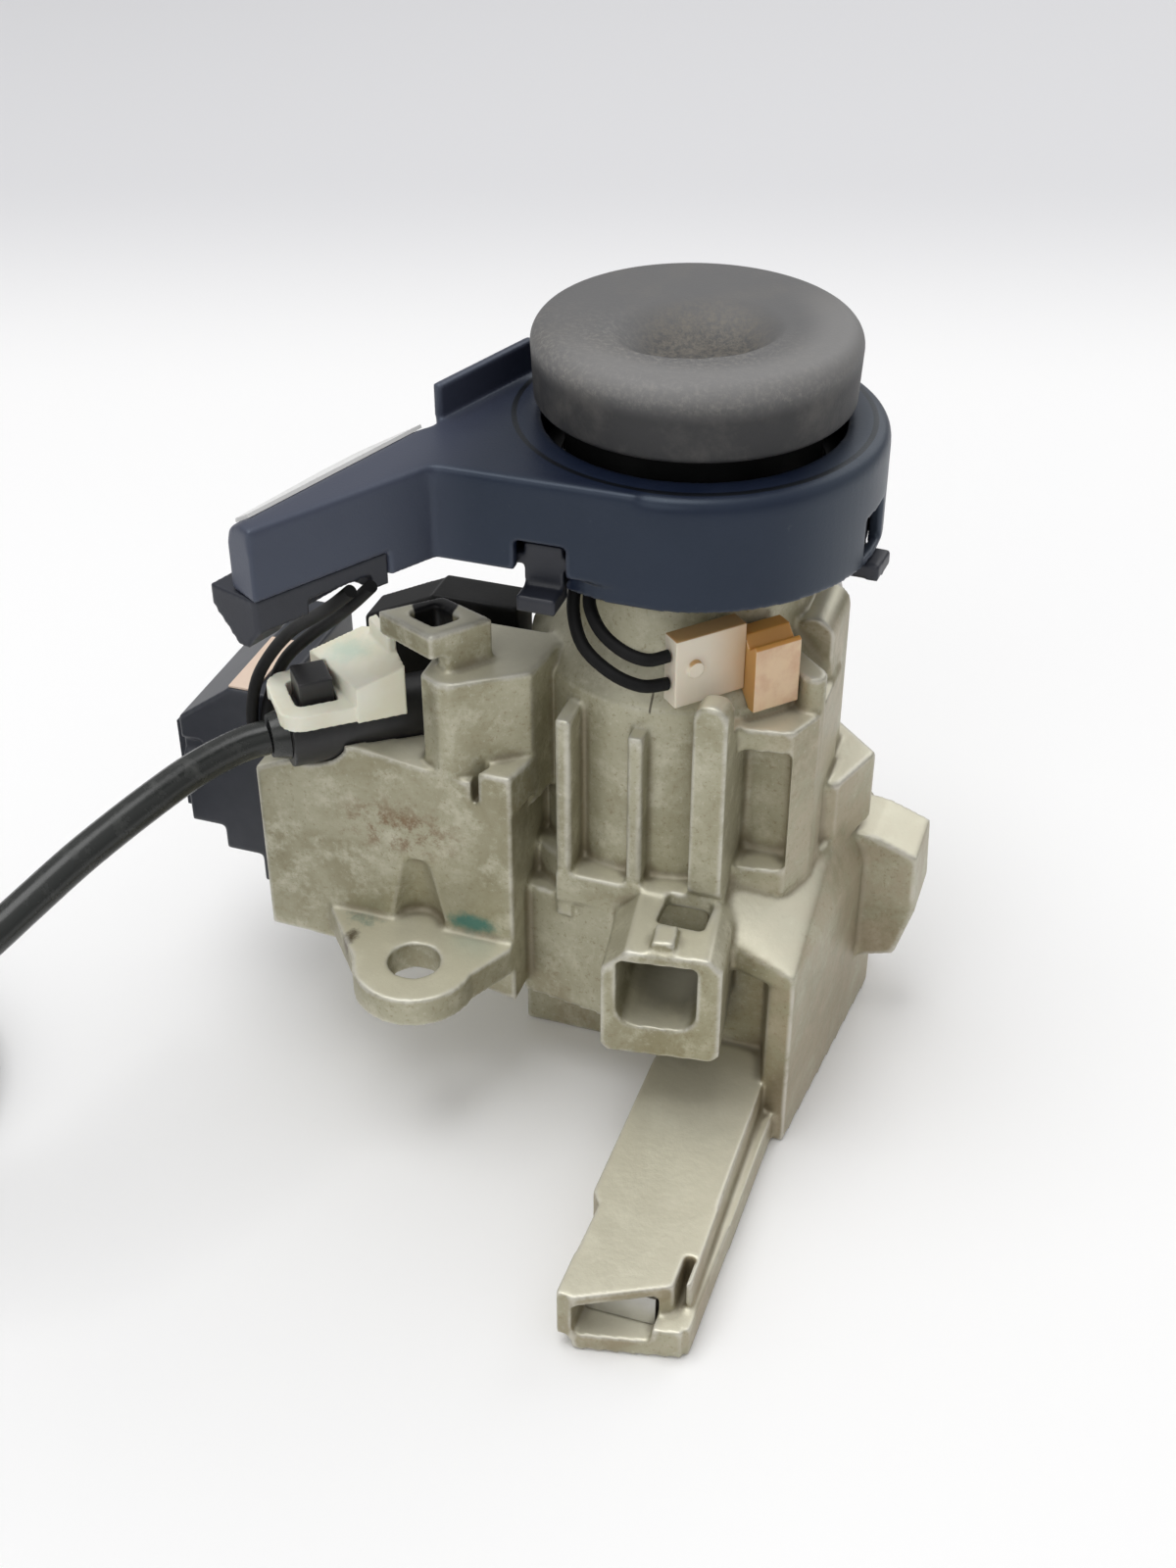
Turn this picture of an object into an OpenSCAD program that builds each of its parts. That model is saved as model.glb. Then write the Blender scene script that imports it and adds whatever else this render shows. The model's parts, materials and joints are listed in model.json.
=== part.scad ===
// Steering-column ignition switch: a twist knob over an antenna bezel, a die-cast lock housing
// with a bolt guide, a slide switch worked by a rack, and a lever interlock cable.
// The knob turns about Z, the base stands on Z = 0 and the bolt leaves its guide towards -Y.

/* [Knob] */
// Diameter of the knob at its widest
knob_d = 44; // [42:0.5:46]
// Height of the knob
knob_h = 10.5; // [9.5:0.5:12]
// Rounding of the knob's crown
crown_r = 4.2; // [3:0.2:5]
// How much narrower the knob is at its lower rim, on each side
knob_taper = 0.9; // [0.4:0.1:1.2]
// Gap between the bezel and the knob's lower rim
knob_gap = 2.6; // [2.4:0.1:5]
// Diameter of the finger scoop in the knob's top
scoop_d = 21; // [16:0.5:24]
// Depth of the finger scoop
scoop_depth = 3.4; // [2:0.1:4]
// Thickness of the knob under the scoop
knob_floor = 1.8; // [1.4:0.1:2.2]
// Diameter of the knob's skirt, which dips into the bezel
skirt_d = 35; // [33:0.5:36]
// Wall of the knob's skirt
skirt_wall = 1.6; // [1.2:0.1:2]
// Length of the skirt below the knob's lower rim
skirt_l = 11; // [9:0.5:12]
// Width across the square drive shank
shank_w = 9; // [7:0.5:10]
// How far the knob pushes in
push_travel = 2; // [1:0.1:2.2]

/* [Bezel] */
// Outer diameter of the bezel ring
bezel_d = 53; // [52:0.5:56]
// Height of the bezel's top face above the base
bezel_top = 101; // [99:0.5:105]
// Height of the bezel ring
bezel_h = 16; // [15:0.5:17.5]
// Rounding of the bezel's top edge
bezel_edge = 2; // [1:0.25:3]
// Diameter of the opening under the knob
bezel_hole_d = 41; // [40:0.5:43]
// Wall of the bezel mouldings
bezel_wall = 1.8; // [1.4:0.1:2.2]
// Height of the arm's upper moulding
arm_h = 13.4; // [12:0.2:14.5]
// Height of the tray that closes the arm from below
tray_h = 4.8; // [4.4:0.2:5.6]
// Turn of the electronics arm about the knob axis
arm_turn = -19; // [-24:1:-14]
// Reach of the arm from the knob axis
arm_reach = 61; // [56:1:66]
// Distance of the arm's straight back edge from the knob axis
arm_back = 25.5; // [25:0.25:26.5]
// Width of the arm's sloping shoulder
arm_shoulder = 7; // [6:0.5:9]
// Slope of the arm's shoulder, in degrees
arm_slope = 30; // [25:1:40]
// Distance of the arm's elbow from the knob axis
arm_elbow = 27.4; // [26:0.2:29]
// Height of the fence beside the ring, above the bezel's top
fence_rise = 5; // [3:0.5:7]
// Thickness of the fence
fence_t = 1.4; // [1.2:0.1:3]
// Length of the fence
fence_l = 20; // [16:0.5:22]
// Width of a snap window
snap_w = 7; // [5:0.5:9]
// Height of a snap window
snap_h = 6; // [5:0.5:7]
// Reach of a snap hook beyond the ring
snap_reach = 1.6; // [1:0.1:2]

/* [Lock casting] */
// Diameter of the barrel
barrel_d = 45; // [43:0.5:47]
// Height of the barrel's shoulder above the base
barrel_top = 67; // [64:0.5:69]
// Diameter of the collar under the bezel
collar_d = 35; // [33:0.5:36]
// Height of the sloping shoulder
shoulder_h = 6; // [4:0.5:8]
// Diameter of the ledge at the barrel's foot
ledge_d = 51; // [49:0.5:53]
// Height of the ledge above the base
ledge_z = 39; // [37:0.5:41]
// Height of the round fillet band under the ledge
ledge_band = 5; // [3:0.5:7]
// Height of the lower body's flat floor over the bolt guide
body_floor = 13.5; // [12:0.5:16]
// Height of the bolt guide
guide_h = 10; // [9.5:0.5:12]
// Width of the bolt guide
guide_w = 15.5; // [14.5:0.5:17]
// Sideways offset of the bolt guide from the knob axis
guide_x = 13; // [12.5:0.25:13.5]
// Reach of the bolt guide from the knob axis
guide_reach = 76; // [72:1:80]
// Depth of the step in the guide's outer side
guide_step = 2.4; // [1.5:0.1:3]
// Outer width of the square socket
socket_w = 17; // [16:0.5:19]
// Outer height of the square socket
socket_h = 18.5; // [18:0.5:20]
// Width of the square socket's opening
socket_hole = 11.3; // [10:0.1:12]
// Depth of the square socket's opening
socket_depth = 15; // [10:0.5:16]
// Reach of the square socket in front of the knob axis
socket_reach = 40; // [38:0.5:42]
// Height of the square socket's underside above the base
socket_z = 20; // [19:0.5:21]
// Thickness of the rib beside the plate
rib_t = 2.2; // [1.8:0.1:3]
// Reach of the ribs in front of the knob axis
rib_reach = 26; // [25:0.25:27]
// Width of the post under the plug
post_w = 4.8; // [4.4:0.1:6]
// Height of the post's rounded top above the base
post_top = 72; // [70:0.5:73]
// Diameter of the round post beside the plug
peg_d = 3.6; // [3:0.1:4]

/* [Side plate] */
// Distance of the side plate's front face from the knob axis
plate_y = 30; // [28.5:0.5:31.5]
// Distance of the plate's outer end from the knob axis
plate_end = 56; // [54:0.5:58]
// Distance of the plate's inner end from the knob axis
plate_inner = 16.5; // [15.5:0.5:17.5]
// Height of the plate's lower edge above the base
plate_z = 21; // [20:0.5:21.5]
// Height of the plate's top at its inner end
plate_top = 51; // [49:0.5:53]
// Extra height of the plate in the middle
plate_rise = 6; // [4:0.5:7]
// Thickness of the mounting ear
ear_t = 4.8; // [4:0.2:6]
// Diameter of the hole through the mounting ear
ear_hole_d = 7.6; // [6.5:0.1:8.5]
// Radius of the mounting ear's rounded end
ear_r = 9; // [8:0.5:10]
// Distance of the ear's hole from the plate's front face
ear_out = 8; // [7:0.5:9]
// Distance of the ear's hole from the knob axis along the plate
ear_x = 29; // [27:0.5:30]
// Diameter of the tool pocket above the ear's hole
pocket_d = 9; // [8:0.5:10]
// Height of the cable turret above the base
turret_top = 70; // [68:0.5:72]

/* [Lock works] */
// Diameter of the lock rotor
rotor_d = 20; // [18:0.5:21]
// Wall of the lock sleeve
sleeve_wall = 3; // [2:0.25:3.5]
// Diameter of the rotor's tail shaft
tail_d = 7; // [6.5:0.25:7.25]
// Running clearance of the turning and sliding parts, on each side
run_gap = 0.05; // [0.03:0.01:0.1]
// Clearance round hidden moving parts
free_gap = 0.5; // [0.4:0.05:0.7]
// Module of the pinion and rack teeth
tooth_module = 0.9; // [0.8:0.05:1]
// Number of teeth on the pinion
pinion_teeth = 12; // [11:1:13]
// Thickness of the pinion and the rack
rack_t = 5.5; // [4.5:0.5:6]
// Depth of the rack behind its teeth
rack_depth = 4; // [3:0.5:5]
// Height of the rack's underside above the base
rack_z = 36; // [35:0.5:37]
// Throw of the crank pin
crank_throw = 9; // [8:0.25:9.5]
// Diameter of the crank pin
crank_pin_d = 6; // [5:0.25:6]
// Thickness of the crank disc
crank_t = 2.5; // [2:0.25:3]
// Thickness of the lock bolt
bolt_t = 5; // [4:0.25:5.5]
// Width of the bolt's blade
bolt_w = 10; // [9:0.25:10.5]
// How far the bolt's tip stays inside the guide
bolt_inset = 5; // [4:0.5:8]
// Thickness of the base cover
cover_t = 2; // [1.5:0.25:2.25]

/* [Electrical switch] */
// Length of the switch case along the rack
case_l = 16.5; // [16:0.5:18]
// Height of the switch case
case_h = 35; // [34:0.5:37]
// Depth of the switch case
case_w = 28; // [26:0.5:30]
// Height of the switch case's underside above the base
case_z = 22; // [21.5:0.25:23]
// Chamfer along the top of the switch case
case_chamfer = 9; // [6:0.5:11]
// Thickness of the switch cover
switch_cover_t = 1.6; // [1.2:0.1:2.4]

/* [Plug and wires] */
// Length of the plug
plug_w = 10.8; // [9:0.1:11]
// Height of the plug
plug_h = 10.3; // [9:0.1:11]
// Thickness of the plug
plug_d = 3.1; // [2.6:0.1:3.3]
// Length of the header
header_w = 7.2; // [6:0.1:7.4]
// Diameter of a lead wire
wire_d = 1.8; // [1.4:0.1:2]

/* [Interlock cable] */
// Diameter of the cable
cable_d = 5; // [4.5:0.25:5.5]
// Diameter of the cable's end fitting
fitting_d = 10; // [9:0.5:11]
// Length of the cable's end fitting
fitting_l = 26; // [24:0.5:28]
// Wall of the spring clip
clip_wall = 2; // [1.5:0.1:2.4]
// Length of the spring clip
clip_l = 13; // [11:0.5:15]
// Mean diameter of the stored coil
coil_d = 50; // [48:0.5:54]
// Turns across the stored coil
coil_across = 3; // [2:1:4]
// Turns on top of each other in the stored coil
coil_layers = 3; // [1:1:4]

/* [Hidden] */
$fn = 64;

// Colours as the photograph shows them
casting_grey = [0.68, 0.66, 0.61];
shell_blue = [0.20, 0.21, 0.25];
knob_grey = [0.23, 0.22, 0.22];
steel = [0.62, 0.63, 0.65];
brass = [0.72, 0.58, 0.30];
black = [0.06, 0.06, 0.07];
cream = [0.90, 0.85, 0.72];
amber = [0.85, 0.66, 0.36];

// Seats meet with this gap, and unions reach this far into each other
seat_gap = 0.1;
join = 1;

// Heights of the knob and bezel
knob_z = bezel_top + knob_gap;
knob_top = knob_z + knob_h;
bezel_z = bezel_top - bezel_h;
arm_z = bezel_top - arm_h;
tray_step = 3.4;
tray_z = arm_z + tray_step - tray_h;
hook_t = 2.4;
collar_top = bezel_z;

// Lock works, from the base up
bolt_z = cover_t + 2 * free_gap;
crank_z = bolt_z + bolt_t + free_gap;
pitch_r = tooth_module * pinion_teeth / 2;
tooth_tip = tooth_module;
tooth_root = 1.25 * tooth_module;
pressure_angle = 25;
backlash = 0.12;
pinion_seat = rack_z + rack_t + free_gap;
sleeve_r = rotor_d / 2 + run_gap + sleeve_wall;
sleeve_flange_t = 3;
sleeve_top = collar_top + sleeve_flange_t;
sleeve_flange_r = sleeve_r + 2;
rotor_top = sleeve_top + 2;
shank_z = knob_z - skirt_l - 10;
crank_r = crank_throw + crank_pin_d / 2 + 0.8;
bolt_half = crank_pin_d / 2 + 2.2;
bolt_slot_gap = 0.6;
guide_left = guide_x - guide_w / 2;
guide_right = guide_x + guide_w / 2;
base_left = -crank_throw - crank_pin_d / 2 - 8;
base_back = 18;
base_wall = 2.3;
slide_gap = 0.2;
post_x = 8.4;

// Side plate and switch
switch_x = -plate_end - seat_gap;
rack_y0 = pitch_r - tooth_tip;
rack_y1 = pitch_r + tooth_root + rack_depth;
plate_back = 8;
rack_sweep = pitch_r * PI / 3;
slide_l = 4;
ear_y = -plate_y - ear_out;
ear_z = plate_z + 1.4;

// Cable group: its origin is the middle of the fitting, and +X there points along the cable
cable_at = [-40, -22, 57.4];
cable_turn = 219;
coil_at = [-121.5, -72, 0];
coil_h = cable_d * coil_layers;
tie_turn = 110;
eye_turn = 185;

// Turns a point of the arm into the whole object's frame
function turned(p) = [p.x * cos(arm_turn) - p.y * sin(arm_turn), p.x * sin(arm_turn) + p.y * cos(arm_turn)];

// Routes of the wires and the cable, chosen by hand
antenna_exit = bezel_d / 2 * [-0.34, -0.76];
plug_at = [5.5, -25.2, barrel_top + 2.8];
connector_turn = 47;
plug_entry = [plug_at.x - 0.3 * cos(connector_turn) - plug_d / 2 * sin(connector_turn),
  plug_at.y - 0.3 * sin(connector_turn) + plug_d / 2 * cos(connector_turn)];
lead_exit = turned([-arm_back + 5.3, -arm_reach + 13.8]);
antenna_route_a = [[antenna_exit.x + 1.1, antenna_exit.y, bezel_z - 1.1], [-7.4, -22.4, 81.8],
  [-5, -24.8, 79.6], [-1.4, -26.4, 78.2], [1.9, -26.4, 77.5], [plug_entry.x, plug_entry.y, plug_at.z + 7.6]];
antenna_route_b = [[antenna_exit.x - 1.1, antenna_exit.y, bezel_z - 1.1], [-9.6, -22.6, 80.5],
  [-7.3, -25.4, 77.3], [-3, -27, 75], [1.2, -26.8, 73.6], [plug_entry.x, plug_entry.y, plug_at.z + 3.3]];
lead_route_a = [[lead_exit.x, lead_exit.y, 87.6], [lead_exit.x - 3.5, lead_exit.y + 1.5, 84], [-43, -32.5, 79],
  [-48.7, -28.5, 73.5], [-53.6, -26, 67.4], [-57, -24.8, 61.6], [-58.9, -23.9, 55], [-59.3, -23.1, 49]];
lead_route_b = [[lead_exit.x + 2, lead_exit.y + 2, 87.6], [lead_exit.x - 1.5, lead_exit.y + 3.6, 83.6],
  [-41, -30.4, 78], [-46.5, -26.6, 72.4], [-52.2, -23.9, 66], [-55.2, -23, 60.6], [-56.9, -23.2, 54.6],
  [-57.3, -23.1, 49]];
cable_route = [[-52.3, -32, 57.3], [-54.7, -34.2, 57.1], [-57.4, -38, 56.6], [-59.8, -42.6, 56],
  [-62, -48, 55.2], [-64.4, -54, 54.1], [-67, -61, 52.7], [-69.8, -69, 50.7], [-72.6, -76.4, 48.6],
  [-76.6, -81.8, 46], [-83, -85.4, 42], [-91, -87, 37], [-99.4, -87.4, 31.8], [-107.4, -87.2, 26.6],
  [-115, -87, 21.8], [-121.5, -86.6, 17.8], [-128.8, -84.6, 14.2], [-134.1, -79.3, 10.6]];

function unit(v) = v / norm(v);

// A box between two opposite corners
module slab(low, high) {
  translate(low) cube(high - low);
}

// A flat outline raised between two heights
module prism(z0, z1) {
  translate([0, 0, z0]) linear_extrude(z1 - z0) children();
}

// A round tube swept along a list of points
module tube(route, r, sides) {
  last = len(route) - 1;
  tangents = [for (i = [0:last]) unit(route[min(i + 1, last)] - route[max(i - 1, 0)])];
  points = [for (i = [0:last]) let (s = unit(cross(tangents[i], [0, 0, 1])), u = cross(s, tangents[i]))
    for (k = [0:sides - 1]) route[i] + r * (cos(360 * k / sides) * s + sin(360 * k / sides) * u)];
  walls = [for (i = [0:last - 1], k = [0:sides - 1]) let (a = i * sides, n = (k + 1) % sides)
    each [[a + k, a + n, a + sides + n], [a + k, a + sides + n, a + sides + k]]];
  start_cap = [for (k = [sides - 1:-1:0]) k];
  end_cap = [for (k = [0:sides - 1]) last * sides + k];
  polyhedron(points, concat(walls, [start_cap, end_cap]), convexity = 6);
}

// A compression spring standing on z0
module coil_spring(mean_r, wire_r, turns, z0, z1) {
  steps = 14;
  rise = z1 - z0 - 2 * wire_r;
  route = [for (i = [0:turns * steps]) let (a = 360 * i / steps)
    [mean_r * cos(a), mean_r * sin(a), z0 + wire_r + rise * i / (turns * steps)]];
  tube(route, wire_r, 6);
}

// Half-profile of the knob: tapered side, rounded crown and a small rounding at the lower rim
rim_r = 0.8;
module puck_profile(r, z0, h) {
  hull() {
    translate([0, z0]) square([r - knob_taper - rim_r, h]);
    translate([r - knob_taper - rim_r, z0 + rim_r]) circle(rim_r, $fn = 32);
    translate([r - crown_r, z0 + h - crown_r]) intersection() {
      circle(crown_r);
      square(crown_r);
    }
  }
}

module knob_cap() {
  ball_r = (scoop_d * scoop_d / 4 + scoop_depth * scoop_depth) / (2 * scoop_depth);
  hollow_top = knob_top - scoop_depth - knob_floor;
  color(knob_grey) difference() {
    rotate_extrude() puck_profile(knob_d / 2, knob_z, knob_h);
    translate([0, 0, knob_top - scoop_depth + ball_r]) sphere(ball_r, $fn = 96);
    translate([0, 0, knob_z - join]) cylinder(r = skirt_d / 2 + seat_gap, h = hollow_top - knob_z + join);
  }
}

module knob_stem() {
  hollow_top = knob_top - scoop_depth - knob_floor;
  disc_t = hollow_top - knob_z - seat_gap;
  color(knob_grey) {
    difference() {
      translate([0, 0, knob_z - skirt_l]) cylinder(d = skirt_d, h = skirt_l + disc_t);
      translate([0, 0, knob_z - skirt_l - join])
        cylinder(r = skirt_d / 2 - skirt_wall, h = skirt_l + join);
    }
    slab([-shank_w / 2, -shank_w / 2, shank_z], [shank_w / 2, shank_w / 2, knob_z + join]);
  }
}

knob_spring_l = 9;
knob_spring_r = shank_w / 2 - 1.2;
module knob_spring() {
  color(steel) coil_spring(knob_spring_r, 0.5, 5, shank_z - knob_spring_l + seat_gap, shank_z - seat_gap);
}

// Outline of the bezel's arm, drawn in by an inset
arm_tip = 2.4;
arm_toe = 2.8;
fence_end = fence_l + 3;
tray_end = arm_reach - 20;
module arm_outline(inset) {
  back = -arm_back + inset;
  toe = -arm_reach + inset;
  front = [[0, 0], [0, -bezel_d / 2 + inset], [-arm_elbow - 0.56 * inset, -bezel_d / 2 + inset]];
  far = [[-arm_back + arm_tip - inset, toe], [back - arm_toe, toe + 1.2], [back - arm_shoulder, -tray_end + 2],
    [back - arm_shoulder, -fence_end - 9], [back, -fence_end - 2], [back, -3 - inset]];
  polygon(concat(front, [for (p = far) turned(p)]));
}

// Everything beyond the tray's inner end
module beyond(y0) {
  rotate(arm_turn) translate([-2 * arm_reach, -2 * arm_reach]) square([2 * arm_reach, 2 * arm_reach + y0]);
}

// Wedge above the arm's sloping shoulder
module shoulder_cut(drop) {
  rotate([0, 0, arm_turn]) translate([-arm_back, 0, bezel_top - drop]) rotate([0, -arm_slope, 0])
    translate([-3 * arm_shoulder, -arm_reach - join, 0])
      cube([3 * arm_shoulder, arm_reach + join - fence_end, 3 * arm_shoulder]);
}

// The snap hooks: one on the front wall, one on the ring's right side
snap_at = [[-13, -bezel_d / 2, -90], [bezel_d / 2 * cos(6), -bezel_d / 2 * sin(6), -6]];
module at_snaps() {
  for (s = snap_at) translate([s.x, s.y, bezel_z]) rotate([0, 0, s.z]) children();
}

module bezel_upper_shell() {
  ring_r = bezel_d / 2;
  inner_r = ring_r - bezel_wall;
  cavity_top = bezel_top - bezel_wall;
  skirt_z = arm_z + tray_step;
  color(shell_blue) difference() {
    union() {
      rotate_extrude() {
        translate([0, bezel_z]) square([ring_r, bezel_h - bezel_edge]);
        translate([0, bezel_z]) square([ring_r - bezel_edge, bezel_h]);
        translate([ring_r - bezel_edge, bezel_top - bezel_edge]) intersection() {
          circle(bezel_edge);
          square(bezel_edge);
        }
      }
      difference() {
        prism(arm_z, bezel_top) arm_outline(0);
        shoulder_cut(0);
        prism(arm_z - join, skirt_z) beyond(-tray_end);
      }
      rotate([0, 0, arm_turn])
        slab([-arm_back - fence_t + join / 2, -fence_end, arm_z], [-arm_back + join / 2, -3, bezel_top + fence_rise]);
    }
    translate([0, 0, bezel_z - join]) cylinder(r = inner_r, h = cavity_top - bezel_z + join);
    difference() {
      prism(arm_z - join, cavity_top) arm_outline(bezel_wall);
      shoulder_cut(bezel_wall * 1.6);
    }
    translate([0, 0, bezel_z]) cylinder(d = bezel_hole_d, h = bezel_h + join);
    at_snaps() slab([-2 * bezel_wall, -snap_w / 2, 1], [join, snap_w / 2, 1 + snap_h]);
    // Room for the snap hooks behind the wall
    at_snaps() slab([-bezel_wall - 2.4, -snap_w / 2 + 0.5, -join],
      [-bezel_wall + 0.1, snap_w / 2 - 0.5, snap_h + 0.3]);
    rotate_extrude() translate([ring_r - bezel_edge - 0.3, bezel_top - 0.4]) square([0.5, 0.4 + join]);
  }
}

floor_t = 1.6;
tray_inset = 0.4;
recess_h = 2.2;
leg_out = 6;
leg_w = 5.6;
leg_drop = 2.8;
module bezel_lower_shell() {
  skirt_z = arm_z + tray_step - seat_gap;
  ring_r = bezel_d / 2 - bezel_wall - seat_gap;
  floor_z = arm_z + seat_gap;
  fit = bezel_wall + seat_gap;
  color(shell_blue * 0.8) difference() {
    union() {
      translate([0, 0, bezel_z]) cylinder(r = ring_r, h = floor_t);
      // Floor of the arm, inside the upper shell's wall, stepped down to the ring
      prism(floor_z, floor_z + floor_t) arm_outline(fit);
      prism(bezel_z, floor_z + floor_t) intersection() {
        arm_outline(fit);
        circle(ring_r);
      }
      at_snaps() {
        slab([-fit - 2, -snap_w / 2 + 0.8, -hook_t], [-fit, snap_w / 2 - 0.8, snap_h]);
        slab([-fit - 2, -snap_w / 2 + 0.8, -hook_t], [snap_reach, snap_w / 2 - 0.8, -seat_gap]);
      }
      // Tray under the arm's outer part
      prism(tray_z, skirt_z) intersection() {
        arm_outline(tray_inset);
        beyond(-tray_end - seat_gap);
      }
      // Leg under the arm's outer end
      rotate([0, 0, arm_turn]) translate([-arm_back, -arm_reach + 6, 0]) rotate([90, 0, 0])
        linear_extrude(leg_w) polygon([[-leg_out, skirt_z], [2, skirt_z], [2, tray_z],
          [-0.2, tray_z - leg_drop], [-1.8, tray_z - leg_drop], [-leg_out, tray_z + 1.8]]);
    }
    translate([0, 0, bezel_z - join]) cylinder(r = bobbin_in, h = bezel_h);
    translate([0, 0, bezel_z + floor_t]) cylinder(r = bobbin_edge + 4 * seat_gap, h = bezel_h);
    prism(tray_z + floor_t, skirt_z + join) intersection() {
      arm_outline(tray_inset + bezel_wall);
      beyond(-tray_end - bezel_wall);
    }
    // Recess in the tray's front wall
    rotate([0, 0, arm_turn])
      slab([-arm_back + 2, -arm_reach + 8, tray_z - join], [0, -tray_end - 2.6, tray_z + recess_h]);
  }
}

// Coil former round the knob's skirt, seated on the lower shell
bobbin_in = skirt_d / 2 + 0.6;
bobbin_edge = bezel_hole_d / 2 + 0.4;
bobbin_h = 8;
bobbin_wall = 1;
module antenna_bobbin() {
  z0 = bezel_z + floor_t + seat_gap;
  color(black) rotate_extrude() {
    translate([bobbin_in, z0]) square([bobbin_wall, bobbin_h]);
    translate([bobbin_in, z0]) square([bobbin_edge - bobbin_in, bobbin_wall]);
    translate([bobbin_in, z0 + bobbin_h - bobbin_wall]) square([bobbin_edge - bobbin_in, bobbin_wall]);
  }
}

module antenna_coil() {
  z0 = bezel_z + floor_t + bobbin_wall + 2 * seat_gap;
  r0 = bobbin_in + bobbin_wall + seat_gap;
  color([0.72, 0.38, 0.18]) rotate_extrude() translate([r0, z0])
    square([bobbin_edge - r0 - 0.7, bobbin_h - 2 * bobbin_wall - 2 * seat_gap]);
}

board_t = 1.6;
module circuit_board() {
  z0 = tray_z + floor_t + seat_gap;
  color([0.12, 0.30, 0.18]) intersection() {
    rotate([0, 0, arm_turn])
      slab([-arm_back - 3, -arm_reach + 8, z0], [-arm_back - 1.2 + bezel_wall, -tray_end - 3, z0 + board_t]);
    prism(z0 - join, z0 + board_t + join) arm_outline(tray_inset + bezel_wall + 0.3);
  }
}

module arm_lens() {
  lens_t = 0.5;
  lens_l = arm_reach - fence_end - 6;
  color([0.92, 0.91, 0.87]) intersection() {
    prism(arm_z, bezel_top + lens_t) arm_outline(0.3);
    rotate([0, 0, arm_turn]) translate([-arm_back, -arm_reach + 3, bezel_top]) rotate([0, -arm_slope, 0])
      translate([-3 * arm_shoulder, 0, 0.02]) cube([3 * arm_shoulder - 0.4, lens_l, lens_t]);
  }
}

// Pale clip that carries light to the bezel's back edge
guide_turn = 42;
light_w = 6;
light_t = 2.4;
light_z = barrel_top - 8;
module light_guide() {
  color([0.90, 0.90, 0.86]) rotate([0, 0, guide_turn]) difference() {
    slab([barrel_d / 2 + seat_gap, -light_w / 2, light_z],
      [barrel_d / 2 + light_t, light_w / 2, bezel_z - seat_gap]);
    translate([barrel_d / 2 + 1.5 * light_t, 0, light_z]) rotate([0, -12, 0])
      slab([0, -light_w, -join], [2 * light_t, light_w, bezel_h]);
  }
}

// Lock casting, from the base up
guide_jog = 3.4;
module bolt_guide_outline() {
  step_y = -guide_reach + 14;
  polygon([[guide_left, 0], [guide_left - 0.6, step_y + 5], [guide_left + guide_jog - 0.6, step_y],
    [guide_left + guide_step, -guide_reach], [guide_right + 1.6, -guide_reach + 3], [guide_right + 0.8, -24],
    [guide_right, 0]]);
}

// Wider foot along the guide's right side
module guide_foot() {
  prism(0, guide_h / 2) polygon([[guide_x, -guide_reach + 4], [guide_right + 2.4, -guide_reach + 4],
    [guide_right + 3, -26], [guide_x, -26]]);
}

base_front = 16;
base_right = 29.5;
module base_outline() {
  polygon([[base_left, -base_front], [guide_left, -base_front], [guide_left, -22], [guide_right - 1, -22],
    [guide_right + 0.8, -29], [guide_right + 4.6, -30], [base_right, 10], [base_right - 3, base_back],
    [base_left, base_back]]);
}

// Slope from the base's right side up to the ledge
slope_z = ledge_z - 1.5 * ledge_band;
module base_slope() {
  hull() {
    prism(ledge_z - 2 * ledge_band, slope_z)
      polygon([[0, -22], [guide_right + 0.8, -29], [guide_right + 4.6, -30], [base_right, 10],
        [base_right - 3, base_back], [0, base_back]]);
    translate([0, 0, ledge_z - ledge_band]) cylinder(d = ledge_d, h = ledge_band - 0.6);
  }
}

module body_outline() {
  polygon([[-plate_inner - join, -24], [0, -socket_reach + 13], [guide_x, -socket_reach + 14], [guide_x, 0],
    [-plate_inner - join, base_back]]);
}

socket_turn = 8;
socket_top_wall = 2;
socket_side_wall = 2.2;
module at_socket() {
  translate([0, -socket_reach, 0]) rotate([0, 0, socket_turn]) children();
}

// Outline of the socket's mouth, square above and round-cornered below
module socket_mouth() {
  corner = 3;
  floor_z = socket_z + socket_h - socket_top_wall - socket_hole;
  hull() {
    translate([socket_side_wall + corner, floor_z + corner]) circle(corner, $fn = 32);
    translate([socket_side_wall + socket_hole - corner, floor_z + corner]) circle(corner, $fn = 32);
    translate([socket_side_wall, floor_z + socket_hole - 0.1]) square([socket_hole, 0.1]);
  }
}

module square_socket() {
  top_z = socket_z + socket_h;
  at_socket() {
    rotate([90, 0, 0]) mirror([0, 0, 1]) linear_extrude(socket_reach - 12)
      polygon([[0, socket_z + 1], [1, socket_z], [socket_w - 1, socket_z], [socket_w, socket_z + 1],
        [socket_w, top_z - 2], [socket_w - 2, top_z], [3.5, top_z], [0, top_z - 3.5]]);
    slab([socket_w / 2 - 1.6, 1, top_z - join], [socket_w / 2 + 1.6, 5.5, top_z + 1.4]);
  }
}

// Plate, seen from the front: higher in the middle, with a step down at the inner end
module plate_outline() {
  polygon([[-plate_end, plate_z], [-plate_end, plate_top - 1], [-plate_end + 15, plate_top + plate_rise],
    [-plate_inner - 6, plate_top + 3.5], [-plate_inner - 6, plate_top], [-plate_inner, plate_top],
    [-plate_inner, plate_z - 5], [-ear_x - 5, plate_z - 1]]);
}

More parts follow.
